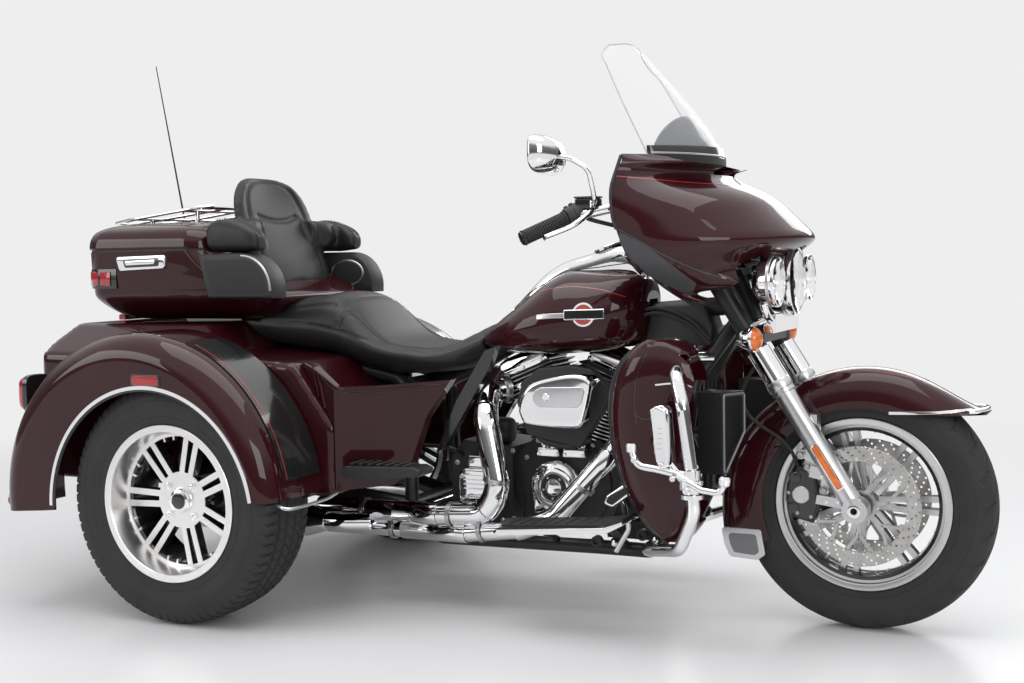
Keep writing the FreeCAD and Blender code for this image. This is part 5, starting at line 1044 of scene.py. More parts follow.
def pressed(item, lines, depth, width):
    """Press sewn channels into a cushion along lines of (place, normal) pairs."""
    places = [to_frame(place) for line in lines for place, normal in line]
    tree = KDTree(len(places))
    for n, place in enumerate(places):
        tree.insert(place, n)
    tree.balance()
    normals = [v.normal.copy() for v in item.data.vertices]
    for vertex, normal in zip(item.data.vertices, normals):
        place, index, distance = tree.find(vertex.co)
        share = distance / (width * MM)
        if share < 1:
            vertex.co -= normal * depth * MM * (1 - share * share) ** 2


def seam_line(item, guide, direction, steps=14):
    """A sewn line's (place, normal) pairs, cast from a guide onto a cushion."""
    tree = tree_of(item.data)
    back_off = Vector(direction) * SEAM_CAST_DEPTH
    found = [first_hit(tree, point - back_off, direction) for point in smooth_path(guide, steps)]
    return [hit for hit in found if hit]


def seam_pair(item, guide, direction):
    """The same sewn line on both sides."""
    other = (direction[0], -direction[1], direction[2])
    return [seam_line(item, guide, direction), seam_line(item, [(x, -y, z) for x, y, z in guide], other)]


def stitched(lines, pitch=7.0, shift=0.0):
    """Short raised stitches beside sewn lines."""
    stitches = []
    for line in lines:
        run = 0.0
        for (a, na), (b, nb) in zip(line, line[1:]):
            run += (b - a).length
            if run < pitch:
                continue
            run = 0.0
            along = (b - a).normalized()
            side = along.cross(na).normalized() * shift
            middle = a + side + na * 0.1
            stitches.append(tube([middle - along * 2.2 - na * 0.6, middle - along * 1.4 + na * 0.5,
                                  middle + along * 1.4 + na * 0.5, middle + along * 2.2 - na * 0.6], 0.75,
                                  5))
    return merged(*stitches)


def seats():
    """The sewn covers of seat and backrest, with pressed seams and their stitches."""
    seat = sewn_form("seat", "seat_cover", frame["nodes"]["seat"].data.copy())
    loop = [(232, -186, 850), (262, -150, 850), (330, -150, 850), (420, -152, 850), (500, -128, 850),
            (560, -86, 850), (596, -40, 850)]
    right, left = seam_pair(seat, loop, DOWN)
    rear_edge = seam_line(seat, [(232, y, 900) for y in (-176, -100, 0, 100, 176)], DOWN)
    cross = seam_line(seat, [(596, y, 850) for y in (-40, 0, 40)], DOWN)
    sides = seam_pair(seat, [(-110, -128, 900), (0, -150, 900), (110, -156, 900), (205, -158, 900)], DOWN)
    low = at_y(-260, [(-120, 786), (0, 775), (120, 768), (240, 748), (340, 722), (450, 700), (540, 700),
                      (600, 716), (650, 742)])
    skirt = seam_pair(seat, low, LEFT)
    pressed(seat, [right, left, rear_edge, cross, *sides], depth=5.0, width=15)
    pressed(seat, skirt, depth=3.0, width=9)
    piece("seat_stitches", stitched([right, left, rear_edge, *sides], shift=4), "rubber")
    back = sewn_form("backrest", "backrest_cover", backrest_form())
    lumbar = [(60, -96, 1084), (60, -40, 1072), (60, 0, 1070), (60, 40, 1072), (60, 96, 1084)]
    edge = [(60, -150, 900), (60, -150, 980), (60, -146, 1060), (60, -132, 1120), (60, -108, 1164),
            (60, -66, 1186)]
    rim = edge + [(60, 0, 1192)] + [(x, -y, z) for x, y, z in reversed(edge)]
    lines = [seam_line(back, guide, BACK) for guide in (lumbar, rim)]
    arms = []
    for sign in (-1, 1):
        arms.append(seam_line(back, [(x, sign * 262, 1200) for x in (-130, -60, 40)], DOWN))
    pressed(back, lines + arms, depth=5.0, width=13)
    piece("backrest_stitches", stitched(lines + arms, shift=4), "rubber")


# Tank and engine

CRANK = (885, 335)
TANK_Y = -200
BANK_ANGLE = math.radians(22.5)
FIN_BASE, FIN_COUNT = 118, 13
FIN_PITCH = (150 - 14) / FIN_COUNT
HEAD_FINS, HEAD_FIN_PITCH = 5, 11.5


def bank_point(sign, distance, across=0.0, along=0.0):
    """A point on a cylinder's axis, sign -1 for the rear one, at a distance from the crank."""
    lean = BANK_ANGLE * sign
    return Vector((CRANK[0] + distance * math.sin(lean) + along * math.cos(lean), across,
                   CRANK[1] + distance * math.cos(lean) - along * math.sin(lean)))


def bank_axis(sign):
    """The direction of a cylinder, away from the crank."""
    return (bank_point(sign, 200) - bank_point(sign, FIN_BASE)).normalized()


def tank_trim():
    """The tank's seam and stripe, its plain disc and bar, and the console's cap."""
    seam = [(640, -120, 716), (700, -160, 708), (800, -190, 706), (900, -200, 708), (1000, -190, 716),
            (1070, -160, 736)]
    piece("tank_seam", both(line_on("fuel_tank", seam, LEFT, 3, 0.7)), "black_gloss")
    stripe = at_y(TANK_Y, [(690, 778), (780, 842), (900, 868), (1010, 862), (1076, 842)])
    piece("tank_stripe", both(line_on("fuel_tank", stripe, LEFT, 2.6, 0.6)), "pinstripe")
    dart = at_y(TANK_Y, [(842, 790), (876, 793), (920, 795)])
    piece("tank_dart", both(line_on("fuel_tank", dart, LEFT, 15, 2.0)), "satin_metal", bevel=1)
    for name, finish_name, outer, inner, proud in (("tank_medallion", "chrome", 31, 26, 2.6),
                                                   ("tank_medallion_field", "pinstripe", 26.5, 1, 1.8)):
        rows = []
        for turn in sweep(0, 361, 10):
            rows.append([(974 + reach * math.cos(turn), -200, 797 + reach * math.sin(turn))
                         for reach in (outer, (outer + inner) / 2, inner)])
        piece(name, both(patch_on("fuel_tank", rows, LEFT, proud)), finish_name)
    bar = at_y(TANK_Y, [(920, 796), (950, 797), (1000, 798), (1030, 799)])
    piece("tank_bar_frame", both(line_on("fuel_tank", bar, LEFT, 30, 3.6, 3)), "chrome", bevel=1)
    bar = at_y(TANK_Y, [(923, 796), (950, 797), (1000, 798), (1027, 799)])
    piece("tank_bar", both(line_on("fuel_tank", bar, LEFT, 26, 4.6, 3)), "black_gloss", bevel=0.8)
    cap = lathe([(0, 44), (6, 44), (9, 41), (10, 34), (8, 31), (10, 0.4)], 60)
    place, normal = on_surface("tank_console", (985, 0, 1200), DOWN)
    piece("console_cap", placed(cap, place - normal * 5, normal), "chrome")
    dial = lathe([(9.6, 26), (11.6, 25), (11.8, 0.4)], 48)
    piece("console_dial", placed(dial, place - normal * 5, normal), "black_gloss")
    edge = [(706, -20, 806), (760, -40, 850), (880, -50, 905), (980, -50, 920), (1060, -40, 930)]
    piece("console_edge", both(line_on("tank_console", edge, LEFT, 3, 1.2)), "black_plastic")


def engine_fins():
    """The bright machined edges of the black cooling fins."""
    rings = []
    edge = lathe([(-1.6, 81.4), (-1.6, 82.9), (1.6, 82.9), (1.6, 81.4)], 90, closed=True)
    for sign in (-1, 1):
        axis = bank_axis(sign)
        for n in range(FIN_COUNT):
            start = bank_point(sign, FIN_BASE) + axis * (12 + n * FIN_PITCH + FIN_PITCH * 0.21)
            rings.append(placed(edge, start, axis))
        for n in range(HEAD_FINS):
            level = 268 + 6 + n * HEAD_FIN_PITCH + 2.5
            for across in (-84.6, 84.6):
                rings.append(tube([bank_point(sign, level, across, along) for along in (-87, 87)], 1.9, 6))
            for along in (-88.6, 88.6):
                rings.append(tube([bank_point(sign, level, across, along) for across in (-84, 84)], 1.9, 6))
    points, faces = merged(*rings)
    keep = []
    for face in faces:
        side = 1 if points[face[0]].x > CRANK[0] else -1
        if all((points[n].x - CRANK[0]) * side > 1 for n in face):
            keep.append(face)
    piece("fin_edges", (points, keep), "satin_metal", corner=60)


def rocker_box(sign):
    """A two-step rocker cover with a rounded top, square to its cylinder."""
    rings = []
    for level, along, across, corner in ((330.5, 76, 72, 12), (335, 78, 74, 14), (343, 78, 74, 14),
                                         (345, 74, 70, 14),
                                         (348, 74, 70, 14), (350, 78, 74, 14), (364, 77, 73, 16),
                                         (374, 72, 68, 20),
                                         (380, 62, 58, 24), (382, 44, 40, 24)):
        ring = level_ring(-along, along, across, 0, corner, 6)
        rings.append([bank_point(sign, level, p.y, p.x) for p in ring])
    return skin(rings)


def engine_dress():
    """Rocker boxes, the air cleaner and all that is bolted to the engine."""
    engine_fins()
    rockers = [rocker_box(sign) for sign in (-1, 1)]
    shape = merged(*rockers)
    trimmed = [Vector((max(p.x, CRANK[0] + 2) if n >= len(rockers[0][0]) else min(p.x, CRANK[0] - 2), p.y,
                       p.z)) for n, p in enumerate(shape[0])]
    piece("rocker_boxes", (trimmed, shape[1]), "chrome", stands_for=("rocker_covers",), corner=40)
    bolts = []
    for sign in (-1, 1):
        axis = bank_axis(sign)
        for along in (-52, 52):
            for across in (-46, 46):
                bolts.append(cap_screw(bank_point(sign, 380.5, across, along), axis, 6.5, 4))
        for along in (-58, 0, 58):
            bolts.append(cap_screw(bank_point(sign, 338, -74, along), RIGHT, 5, 4))
    piece("rocker_screws", merged(*bolts), "chrome")
    cleaner = smooth_outline([(816, 545), (827, 590), (848, 616), (884, 631), (955, 646), (1000, 645),
                              (1022, 630), (1022, 604), (1008, 548), (996, 518), (972, 506), (856, 510),
                              (826, 522)], 4)
    piece("cleaner_cover", crowned(cleaner, -176, -246, 12, 6), "chrome", stands_for=("air_cleaner",),
          corner=60)
    panel = [(862, 588), (868, 604), (884, 612), (1000, 616), (1008, 606), (998, 572), (986, 562),
             (880, 560), (866, 572)]
    piece("cleaner_panel", crowned(rounded_outline(panel, 9), -245, -249.5, 2.5, 4), "satin_metal",
          corner=50)
    boss = lathe([(0, 10), (2.4, 10), (3.4, 8.8), (3.4, 6), (2, 5.6), (2, 0.3)], 32)
    piece("cleaner_boss", placed(boss, (900, -248.6, 587), RIGHT), "chrome")
    back = rounded_outline([(782, 563), (799, 619), (845, 654), (934, 665), (997, 655), (1050, 608),
                            (1053, 580), (965, 446), (811, 476)], 14)
    piece("cleaner_back", crowned(back, -150, -178, 5), "engine_black", corner=45)
    throat = turned([(0, 34), (100, 34)], 40, (885, -150, 582), LEFT)
    piece("cleaner_throat", throat, "engine_black")
    horn = bent([(990, -164, 470), (930, -170, 448), (860, -168, 458), (812, -160, 500)], 40)
    piece("cleaner_breather", tube(horn, 9, 12), "rubber")
    cam_covers()
    pushrods()
    side_cases()


def cam_covers():
    """The round cam cover, the gear case's cover and the primary's on the left."""
    at = (859, -85, 327)
    ribs = []
    body = [(0, 74), (14, 74), (19, 70), (20, 60), (23, 56), (24, 53), (28, 53), (33, 47), (34, 40),
            (31, 38), (31, 22), (34, 20), (36, 12), (36.5, 0.4)]
    ribs.append(turned(body, 96, at, RIGHT))
    foot = rounded_outline([(797, 237), (789, 327), (929, 327), (899, 237)], 10)
    ribs.append(crowned(foot, -85, -104, 4))
    piece("cam_cover", merged(*ribs), "chrome", corner=40)
    dark = turned([(30.6, 37.6), (31.6, 37.4), (31.6, 22.6), (30.6, 22.4)], 72, at, RIGHT, closed=True)
    piece("cam_cover_field", dark, "engine_black")
    screws = []
    for n in range(5):
        turn = math.radians(72 * n + 18)
        screws.append(cap_screw((at[0] + 65 * math.cos(turn), -104, at[2] + 65 * math.sin(turn)), RIGHT,
                                5.5, 4))
    for n in range(5):
        turn = math.radians(72 * n + 50)
        screws.append(cap_screw((at[0] + 30 * math.cos(turn), -116, at[2] + 30 * math.sin(turn)), RIGHT,
                                3.4, 2.5))
    for x, z in ((806, 250), (890, 250)):
        screws.append(cap_screw((x, -103.5, z), RIGHT, 5, 4))
    piece("cam_screws", merged(*screws), "steel")
    gear = rounded_outline([(595, 277), (595, 365), (617, 377), (693, 377), (713, 361), (713, 277)], 16)
    cover = crowned(gear, -105.3, -165, 10, 5)
    top = crowned(rounded_outline([(617, 372), (617, 409), (685, 409), (685, 372)], 8), -105.3, -150, 4)
    piece("gear_cover", merged(cover, top), "chrome", stands_for=("engine_covers",), corner=40)
    ribs = [block((612, -167.6, z), (696, -164, z + 4)) for z in (318, 330, 342, 354)]
    piece("gear_cover_ribs", merged(*ribs), "chrome", bevel=1.2)
    screws = [cap_screw((x, -164.4, z), RIGHT, 5.5, 4) for x, z in ((606, 288), (702, 288), (606, 352),
            (702, 350))]
    screws += [cap_screw((x, -149.6, 392), RIGHT, 5.5, 4) for x in (632, 670)]
    piece("gear_screws", merged(*screws), "steel")
    primary = rounded_outline([(990, 243), (1027, 335), (990, 419), (589, 403), (549, 335), (589, 247)], 40)
    piece("primary_cover", mirrored(crowned(primary, -150.3, -196, 22, 6)), "chrome", corner=40)
    derby = turned([(0, 62), (5, 62), (8, 58), (9, 50), (7, 48), (9, 20), (10, 0.4)], 72, (640, 194, 330),
                   LEFT)
    piece("derby_cover", derby, "chrome")
    screws = [cap_screw((640 + 54 * math.cos(a), 200, 330 + 54 * math.sin(a)), LEFT, 5, 5)
              for a in [math.radians(72 * n) for n in range(5)]]
    piece("derby_screws", merged(*screws), "steel")


def pushrods():
    """Chrome tubes with their cups, standing in two lifter blocks on the crankcase."""
    tubes, cups, blocks = [], [], []
    for sign in (-1, 1):
        lifter_x = CRANK[0] + sign * 38
        for side in (-1, 1):
            foot = Vector((lifter_x + side * 13, -104, CRANK[1] + 92))
            run = bank_point(sign, 298, -104, side * 20 - sign * 8) - foot
            tubes.append(tube([foot, foot + run], 8.6, 20))
            for share, reach in ((0.0, 12.5), (0.52, 10.4), (0.93, 12)):
                cup = [(0, reach - 1), (1.5, reach), (10, reach), (12, reach - 1.5), (12, 8)]
                cups.append(turned(cup, 24, foot + run * share, run))
            collar = [(12, 10), (15, 12), (18, 12), (21, 10)]
            cups.append(turned(collar, 24, foot + run * 0.1, run, closed=True))
        outline = [(lifter_x - 34, CRANK[1] + 77), (lifter_x - 30, CRANK[1] + 100),
                   (lifter_x + 30, CRANK[1] + 100), (lifter_x + 34, CRANK[1] + 77)]
        blocks.append(crowned(rounded_outline(outline, 5), -85.3, -123, 3))
        for shift in (-26, 26):
            cups.append(cap_screw((lifter_x + shift, -122.6, CRANK[1] + 84), RIGHT, 5, 4))
    piece("pushrod_tubes", merged(*tubes), "chrome", stands_for=("pushrod_tubes",))
    piece("pushrod_cups", merged(*cups), "chrome")
    piece("lifter_blocks", merged(*blocks), "chrome", corner=40)


def side_cases():
    """Screws, webs and small covers on the black cases, with the starter and the engine's hoses."""
    screws = []
    for x, z in ((735, 232), (735, 420), (560, 262), (562, 380), (620, 226), (700, 226)):
        screws.append(hexagon_bolt((x, -104.6, z), RIGHT, 6.5, 5))
    for x, z in ((790, 218), (850, 214), (925, 214), (985, 232), (1008, 300), (1010, 380), (960, 440),
                 (800, 448), (765, 400)):
        screws.append(hexagon_bolt((x, -79.6, z), RIGHT, 6, 5))
    piece("case_bolts", merged(*screws), "steel")
    plug = turned([(0, 22), (6, 22), (8, 19), (8, 10), (4, 9), (4, 0.4)], 36, (668, -104, 236), RIGHT)
    plug_two = turned([(0, 16), (5, 16), (7, 13), (7, 0.4)], 36, (585, -104, 300), RIGHT)
    piece("case_plugs", merged(plug, plug_two), "engine_black")
    web = []
    for n in range(6):
        x = 752 + n * 46
        web.append(prism([(x, 222), (x + 4, 222), (x + 4, 300), (x, 300)], -84, -79))
    piece("case_webs", merged(*web), "engine_black")
    lean = [(640, -106, 440), (654, -112, 470), (700, -112, 470), (718, -106, 438)]
    starter = turned([(0, 34), (6, 36), (84, 36), (90, 33), (92, 12), (92, 0.4)], 48, (622, -60, 470),
                     AHEAD)
    piece("starter", starter, "engine_black")
    wires = [tube(smooth_path([(700, -96, 640), (676, -108, 590), (668, -100, 530), lean[2]], 6), 5, 10),
             tube(smooth_path([(640, -96, 560), (628, -108, 520), lean[0]], 6), 4, 10),
             tube(smooth_path([(1010, -96, 560), (1070, -84, 520), (1112, -70, 470), (1128, -60, 400)], 6),
                  7, 10)]
    piece("engine_hoses", merged(*wires), "rubber")


# Exhaust

REAR_PIPE = [(665, -105, 582), (694, -190, 520), (742, -212, 330), (700, -214, 262), (560, -214, 252),
             (430, -216, 250), (180, -218, 250)]
FRONT_PIPE = [(1115, -110, 558), (1042, -196, 420), (900, -212, 262), (800, -214, 226), (640, -214, 206),
              (450, -216, 206), (210, -218, 205)]


def heat_shield(path, radius, low, high, half_turn):
    """A shield of part of a tube's round, standing off a pipe between two shares of its length."""
    track = bent(path, 90, 10)
    last = len(track) - 1
    total = [0.0]
    for a, b in zip(track, track[1:]):
        total.append(total[-1] + (b - a).length)
    turns = [math.radians(-half_turn + 2 * half_turn * k / 24) for k in range(25)]
    rings = []
    for n, place in enumerate(track):
        if low <= total[n] / total[-1] <= high:
            tangent = (track[min(n + 1, last)] - track[max(n - 1, 0)]).normalized()
            out = Vector(RIGHT)
            out = (out - tangent * out.dot(tangent)).normalized()
            other = tangent.cross(out)
            rings.append([place + (out * math.cos(t) + other * math.sin(t)) * radius for t in turns])
    return skin(rings, around=False, caps=False)


def clamp(at, along, radius):
    """A band with a bolted ear round a pipe."""
    band_ring = turned([(-6, radius), (-6, radius + 2), (6, radius + 2), (6, radius)], 48, at, along,
                       closed=True)
    ear = Vector(at) + Vector((0, -radius - 2, 0))
    screw = cap_screw(ear + Vector(LEFT), RIGHT, 5, 5)
    return merged(band_ring, screw)


def exhaust():
    """Shields, clamps and collars on the two pipes."""
    shields = [heat_shield(REAR_PIPE, 33, 0.08, 0.42, 105), heat_shield(REAR_PIPE, 33, 0.47, 0.98, 105),
               heat_shield(FRONT_PIPE, 27, 0.05, 0.46, 110), heat_shield(FRONT_PIPE, 26, 0.5, 0.98, 105)]
    thickened(piece("exhaust_shields", merged(*shields), "chrome", corner=60), 1.2, 1)
    bands = [clamp((735, -212, 356), (0.2, 0, 1), 34), clamp((600, -214, 254), AHEAD, 34),
             clamp((330, -217, 250), AHEAD, 34), clamp((985, -203, 350), (0.6, 0, 0.8), 28),
             clamp((690, -214, 214), (1, 0, 0.2), 27), clamp((420, -216, 206), AHEAD, 27)]
    piece("exhaust_clamps", merged(*bands), "steel")
    collars = []
    for place, aim in (((713, -60, 588), (-48, -45, -6)), ((1057, -60, 588), (58, -50, -30))):
        collars.append(turned([(8, 30), (8, 40), (20, 40), (24, 34), (24, 30)], 40, place, aim,
                              closed=True))
    piece("exhaust_collars", merged(*collars), "steel")


def foot_controls():
    """Board mats and edges, the brake pedal, the shifter and the board brackets."""
    mats, edges, ribs = [], [], []
    outline = [(828, -384), (812, -330), (822, -272), (1120, -270), (1158, -300), (1158, -350),
               (1120, -386)]
    path = smooth_path([(x, y, 0) for x, y in outline + outline[:1]], 5)

    def height(x):
        return 262 + (x - 812) * 0.066 + max(0, x - 1112) * 0.32
    rim = [(p.x, p.y, height(p.x)) for p in path]
    edges.append(tube(rim, 5.5, 8, caps=False))
    mat = [Vector((828 + (p.x - 828) * 0.97, -328 + (p.y + 328) * 0.9, 0)) for p in path[:-1]]
    mats.append(skin([[(p.x, p.y, height(p.x) - 4) for p in mat], [(p.x, p.y, height(p.x) + 10)
            for p in mat]]))
    for n in range(9):
        x = 850 + n * 31
        ribs.append(tube([(x, -372, height(x) + 10), (x, -284, height(x) + 10)], 3.2, 8))
    piece("board_edges", both(merged(*edges)), "chrome")
    piece("board_mats", both(merged(*mats)), "rubber", bevel=2)
    piece("board_ribs", both(merged(*ribs)), "rubber")
    strip = rounded_outline([(812, 247), (822, 262), (1112, 286), (1160, 304), (1164, 296), (1118, 272)], 5)
    piece("board_side", both(crowned(strip, -390, -395, 2)), "chrome")
    arm = tube(bent([(1085, -236, 196), (1130, -262, 262), (1128, -292, 330), (1118, -300, 352)], 30), 7,
               12)
    pad = rounded_outline([(1092, 352), (1082, 330), (1108, 322), (1176, 372), (1178, 396), (1164, 402)], 9)
    piece("brake_arm", arm, "chrome")
    piece("brake_pad", crowned(pad, -290, -318, 4), "chrome", corner=40)
    face = rounded_outline([(1098, 352), (1090, 336), (1108, 330), (1168, 376), (1168, 392)], 6)
    piece("brake_pad_rubber", crowned(face, -316, -322, 2), "rubber")
    shifter = tube(bent([(1075, 236, 220), (1110, 300, 262), (1160, 330, 330), (1178, 340, 372)], 30), 7,
                   12)
    peg = turned([(0, 10), (4, 12), (44, 12), (48, 10)], 24, (1178, 322, 376), LEFT)
    piece("shift_lever", shifter, "chrome")
    piece("shift_peg", peg, "rubber")
    lugs = []
    for x, z in ((1020, 218), (1075, 220), (1146, 244), (1186, 236)):
        lugs.append(turned([(0, 15), (16, 15), (19, 12), (19, 7), (14, 6), (14, 0.4)], 32, (x, -196, z - 8),
                           RIGHT))
    piece("board_lugs", both(merged(*lugs)), "engine_black")
    pins = [turned([(0, 8), (30, 8), (33, 5), (33, 0.4)], 24, (x, -196, z - 8), RIGHT)
            for x, z in ((1075, 220), (1186, 236))]
    piece("board_pins", both(merged(*pins)), "chrome")
    groove = rounded_outline([(404, 400), (420, 414), (622, 420), (640, 411), (632, 398), (470, 382),
                              (414, 386)], 6)
    piece("pillion_board_mats", both(crowned(groove, -455, -465, 2.5)), "rubber")
    top = [block((430 + n * 26, -456, 416.5), (440 + n * 26, -392, 423)) for n in range(7)]
    piece("pillion_board_ribs", both(merged(*top)), "rubber", bevel=1.5)


# Lower fairings, guards and radiators

LOWER_Y = -460


def neck_cover():
    """The dark cover over the wiring between the tank and the steering head."""
    outline = rounded_outline([(1098, 706), (1284, 712), (1288, 760), (1270, 812), (1226, 822),
                               (1118, 820)], 20)
    cover = layered(outline, ((-50, 8), (-47, 3), (-42, 0), (42, 0), (47, 3), (50, 8)))
    piece("neck_cover", cover, "black_plastic", corner=50)
    looms = []
    for sign in (-1, 1):
        for shift in (0, 13):
            path = [(1080, sign * (58 + shift * 0.5), 800 - shift), (1150, sign * 60, 810 - shift),
                    (1230, sign * 60, 780 - shift), (1282, sign * 56, 730 - shift)]
            looms.append(tube(smooth_path(path, 6), 5, 10))
    piece("neck_looms", merged(*looms), "rubber")


def lower_bodies():
    """The lips, seams and inner edges of the lower fairings."""
    notch = [(1344, 470), *oval((1306, 592), 34, 48, sweep(0, 181, 15)), (1274, 520)]
    lip = line_on("lower_fairings", at_y(LOWER_Y, notch), LEFT, 12, 4, 3)
    piece("notch_lip", both(lip), "paint", bevel=1.4)
    seams = [line_on("lower_fairings", guide, LEFT, 3.2, 0.7) for guide in (at_y(LOWER_Y,
            [(1222, 716), (1200, 660), (1192, 600), (1196, 540)]), at_y(LOWER_Y,
                    [(1190, 566), (1216, 556), (1246, 560)]))]
    piece("lower_seams", both(merged(*seams)), "black_gloss")
    strip = at_y(LOWER_Y, [(1246, 640), (1290, 644), (1330, 636), (1348, 624)])
    piece("lower_strip", both(line_on("lower_fairings", strip, LEFT, 5, 2)), "chrome")
    edge = at_y(LOWER_Y, [(1196, 730), (1150, 690), (1122, 640), (1112, 590), (1113, 520), (1122, 440),
                          (1142, 370), (1176, 310), (1212, 264)])
    rings = []
    for point in smooth_path(edge, 4):
        found = on_surface("lower_fairings", (point.x + 9, -760, point.z), LEFT)
        if found:
            y = found[0].y
            rings.append([(point.x + 12, y - 1.2, point.z), (point.x - 2, y + 8, point.z),
                          (point.x - 14, y + 34, point.z + 4), (point.x - 12, y + 66, point.z + 4),
                          (point.x + 10, y + 60, point.z)])
    piece("lower_inner_edge", both(skin(rings)), "black_plastic", corner=50)


def radiator_cores():
    """Fins, a back and a bright rim for each radiator."""
    low, high = 404, 608
    fins = []

    def face_x(y, back):
        return 1361 + (y + 220) * 0.5 - back
    for n in range(46):
        z = low + 18 + n * 3.7
        limit = -151 if z > 500 else -151 - (500 - z) * 0.62
        fins.append(skin([[(face_x(y, 9), y, z), (face_x(y, 3), y, z + 1.2), (face_x(y, 3), y, z + 2.4)]
                          for y in (-213, limit)]))
    corners = [(-215, low + 6), (-215, high - 6), (-149, high - 6), (-149, 505), (-208, low + 6)]
    path = [(face_x(y, -1.5), y, z) for y, z in corners]
    bezel = tube(bent(path + path[:1], 6, 3), 3.6, 8)
    core = skin([[(face_x(y, depth), y, z) for y, z in corners] for depth in (12, 8)])
    piece("radiator_fins", both(merged(*fins)), "black_metal")
    piece("radiator_bezels", both(bezel), "radiator_grey")
    piece("radiator_backs", both(core), "black_metal")


def pegs():
    """Highway pegs on the guard, and the guard's clamps."""
    oval = [(1270, 596), (1262, 580), (1266, 540), (1272, 480), (1284, 456), (1300, 456), (1308, 470),
            (1306, 540), (1301, 588), (1288, 602)]
    pad = crowned(smooth_outline(oval, 4), -428, -466, 5)
    piece("highway_pads", both(pad), "chrome", corner=45)
    inner = [(1277, 560), (1280, 500), (1290, 478), (1298, 490), (1297, 548), (1290, 566)]
    piece("highway_inserts", both(crowned(smooth_outline(inner, 4), -465, -468, 1.4)), "satin_metal",
          corner=45)
    lines = [tube([(1281, -468.4, z), (1293, -468.4, z - 1)], 1.8, 6) for z in (500, 512, 524, 536, 548)]
    piece("highway_ribs", both(merged(*lines)), "rubber")
    knobs = []
    for x, y, z, reach in ((1343, -447, 400, 9), (1316, -466, 430, 7), (1290, -470, 462, 6),
                           (1222, -466, 470, 8)):
        knobs.append(cap_screw((x, y, z), RIGHT, reach, 6))
    for z in (383, 417):
        knobs.append(turned([(-5, 17), (-5, 27.5), (5, 27.5), (5, 17)], 36, (1348, -419, z), UP,
                            closed=True))
    piece("highway_clamps", both(merged(*knobs)), "chrome")
    ends = [turned([(-4, 8), (0, 13), (14, 14), (20, 10), (21, 0.4)], 28, at, aim)
            for at, aim in (((1212, -456, 488), UP), ((1436, -452, 420), (0.1, 0, 1)))]
    piece("highway_ends", both(merged(*ends)), "chrome")


# Front end

AXLE = (1670, 320)
STRIP_Y, FAIRING_Y = -120, -500
FORK_LEAN = math.radians(32)
FORK_HALF = 123


def fork_point(level, y):
    """A point on the fork's line at a height."""
    return Vector((AXLE[0] - (level - AXLE[1]) * math.tan(FORK_LEAN), y, level))


def forks():
    """The fork's rings, reflectors, screws and caps, then the calipers."""
    lean = Vector((-math.sin(FORK_LEAN), 0, math.cos(FORK_LEAN)))
    rings, strips, ambers, nuts, caps = [], [], [], [], []
    for sign in (-1, 1):
        y = sign * FORK_HALF
        top = fork_point(612, y)
        for profile in ([(-14, 27.4), (-12, 29.5), (-2, 29.5), (0, 28), (0.2, 24.4)],
                        [(1.2, 24.4), (1.2, 31.5), (6, 32.5), (20, 32), (24, 30.2)]):
            rings.append(turned(profile, 48, top, lean, closed=True))
        out = Vector((0, sign, 0))
        strips.append(fork_strip(y, out, 11, 0, 28.2))
        ambers.append(fork_strip(y, out, 8.2, 3.5, 30.2))
        axle = Vector((AXLE[0], y, AXLE[1]))
        nut = [(24, 17), (30.4, 16), (31, 14), (31, 8.6), (22, 8.4)]
        nuts.append(turned(nut, 48, axle, out, closed=True))
        for x, z in ((1608, 404), (1588, 398), (1628, 338), (1600, 336)):
            nuts.append(cap_screw((x, sign * 132, z), out, 5.5, 5))
        nuts.append(cap_screw((AXLE[0] + 4, sign * 126, AXLE[1] - 31), DOWN, 5, 4))
        cap = [(0, 24), (3, 24), (7, 21), (9, 12), (9, 0.4)]
        caps.append(turned(cap, 36, fork_point(914, y), lean))
    for name, shapes, finish_name in (
            ("fork_rings", rings, "satin_metal"), ("fork_reflector_frames", strips, "chrome"),
            ("fork_reflectors", ambers, "amber_lens"), ("fork_nuts", nuts, "chrome"),
            ("fork_caps", caps, "chrome")):
        steered(name, merged(*shapes), finish_name)
    calipers()


def fork_strip(y, out, half_width, drawn, face):
    """A long narrow plate on a fork leg's outer side, narrower at its ends."""
    low, high = fork_point(371, y), fork_point(478, y)
    run = (high - low).normalized()
    across = run.cross(out)
    rings = []
    for share in (0, 0.03, 0.97, 1):
        width = half_width * (0.7 if share in (0, 1) else 1)
        at = low + run * (drawn + share * ((high - low).length - 2 * drawn))
        rings.append([at + out * (face - 7) - across * width, at + out * (face - 1.2) - across * width,
                      at + out * face - across * width * 0.6, at + out * face + across * width * 0.6,
                      at + out * (face - 1.2) + across * width, at + out * (face - 7) + across * width])
    return skin(rings)


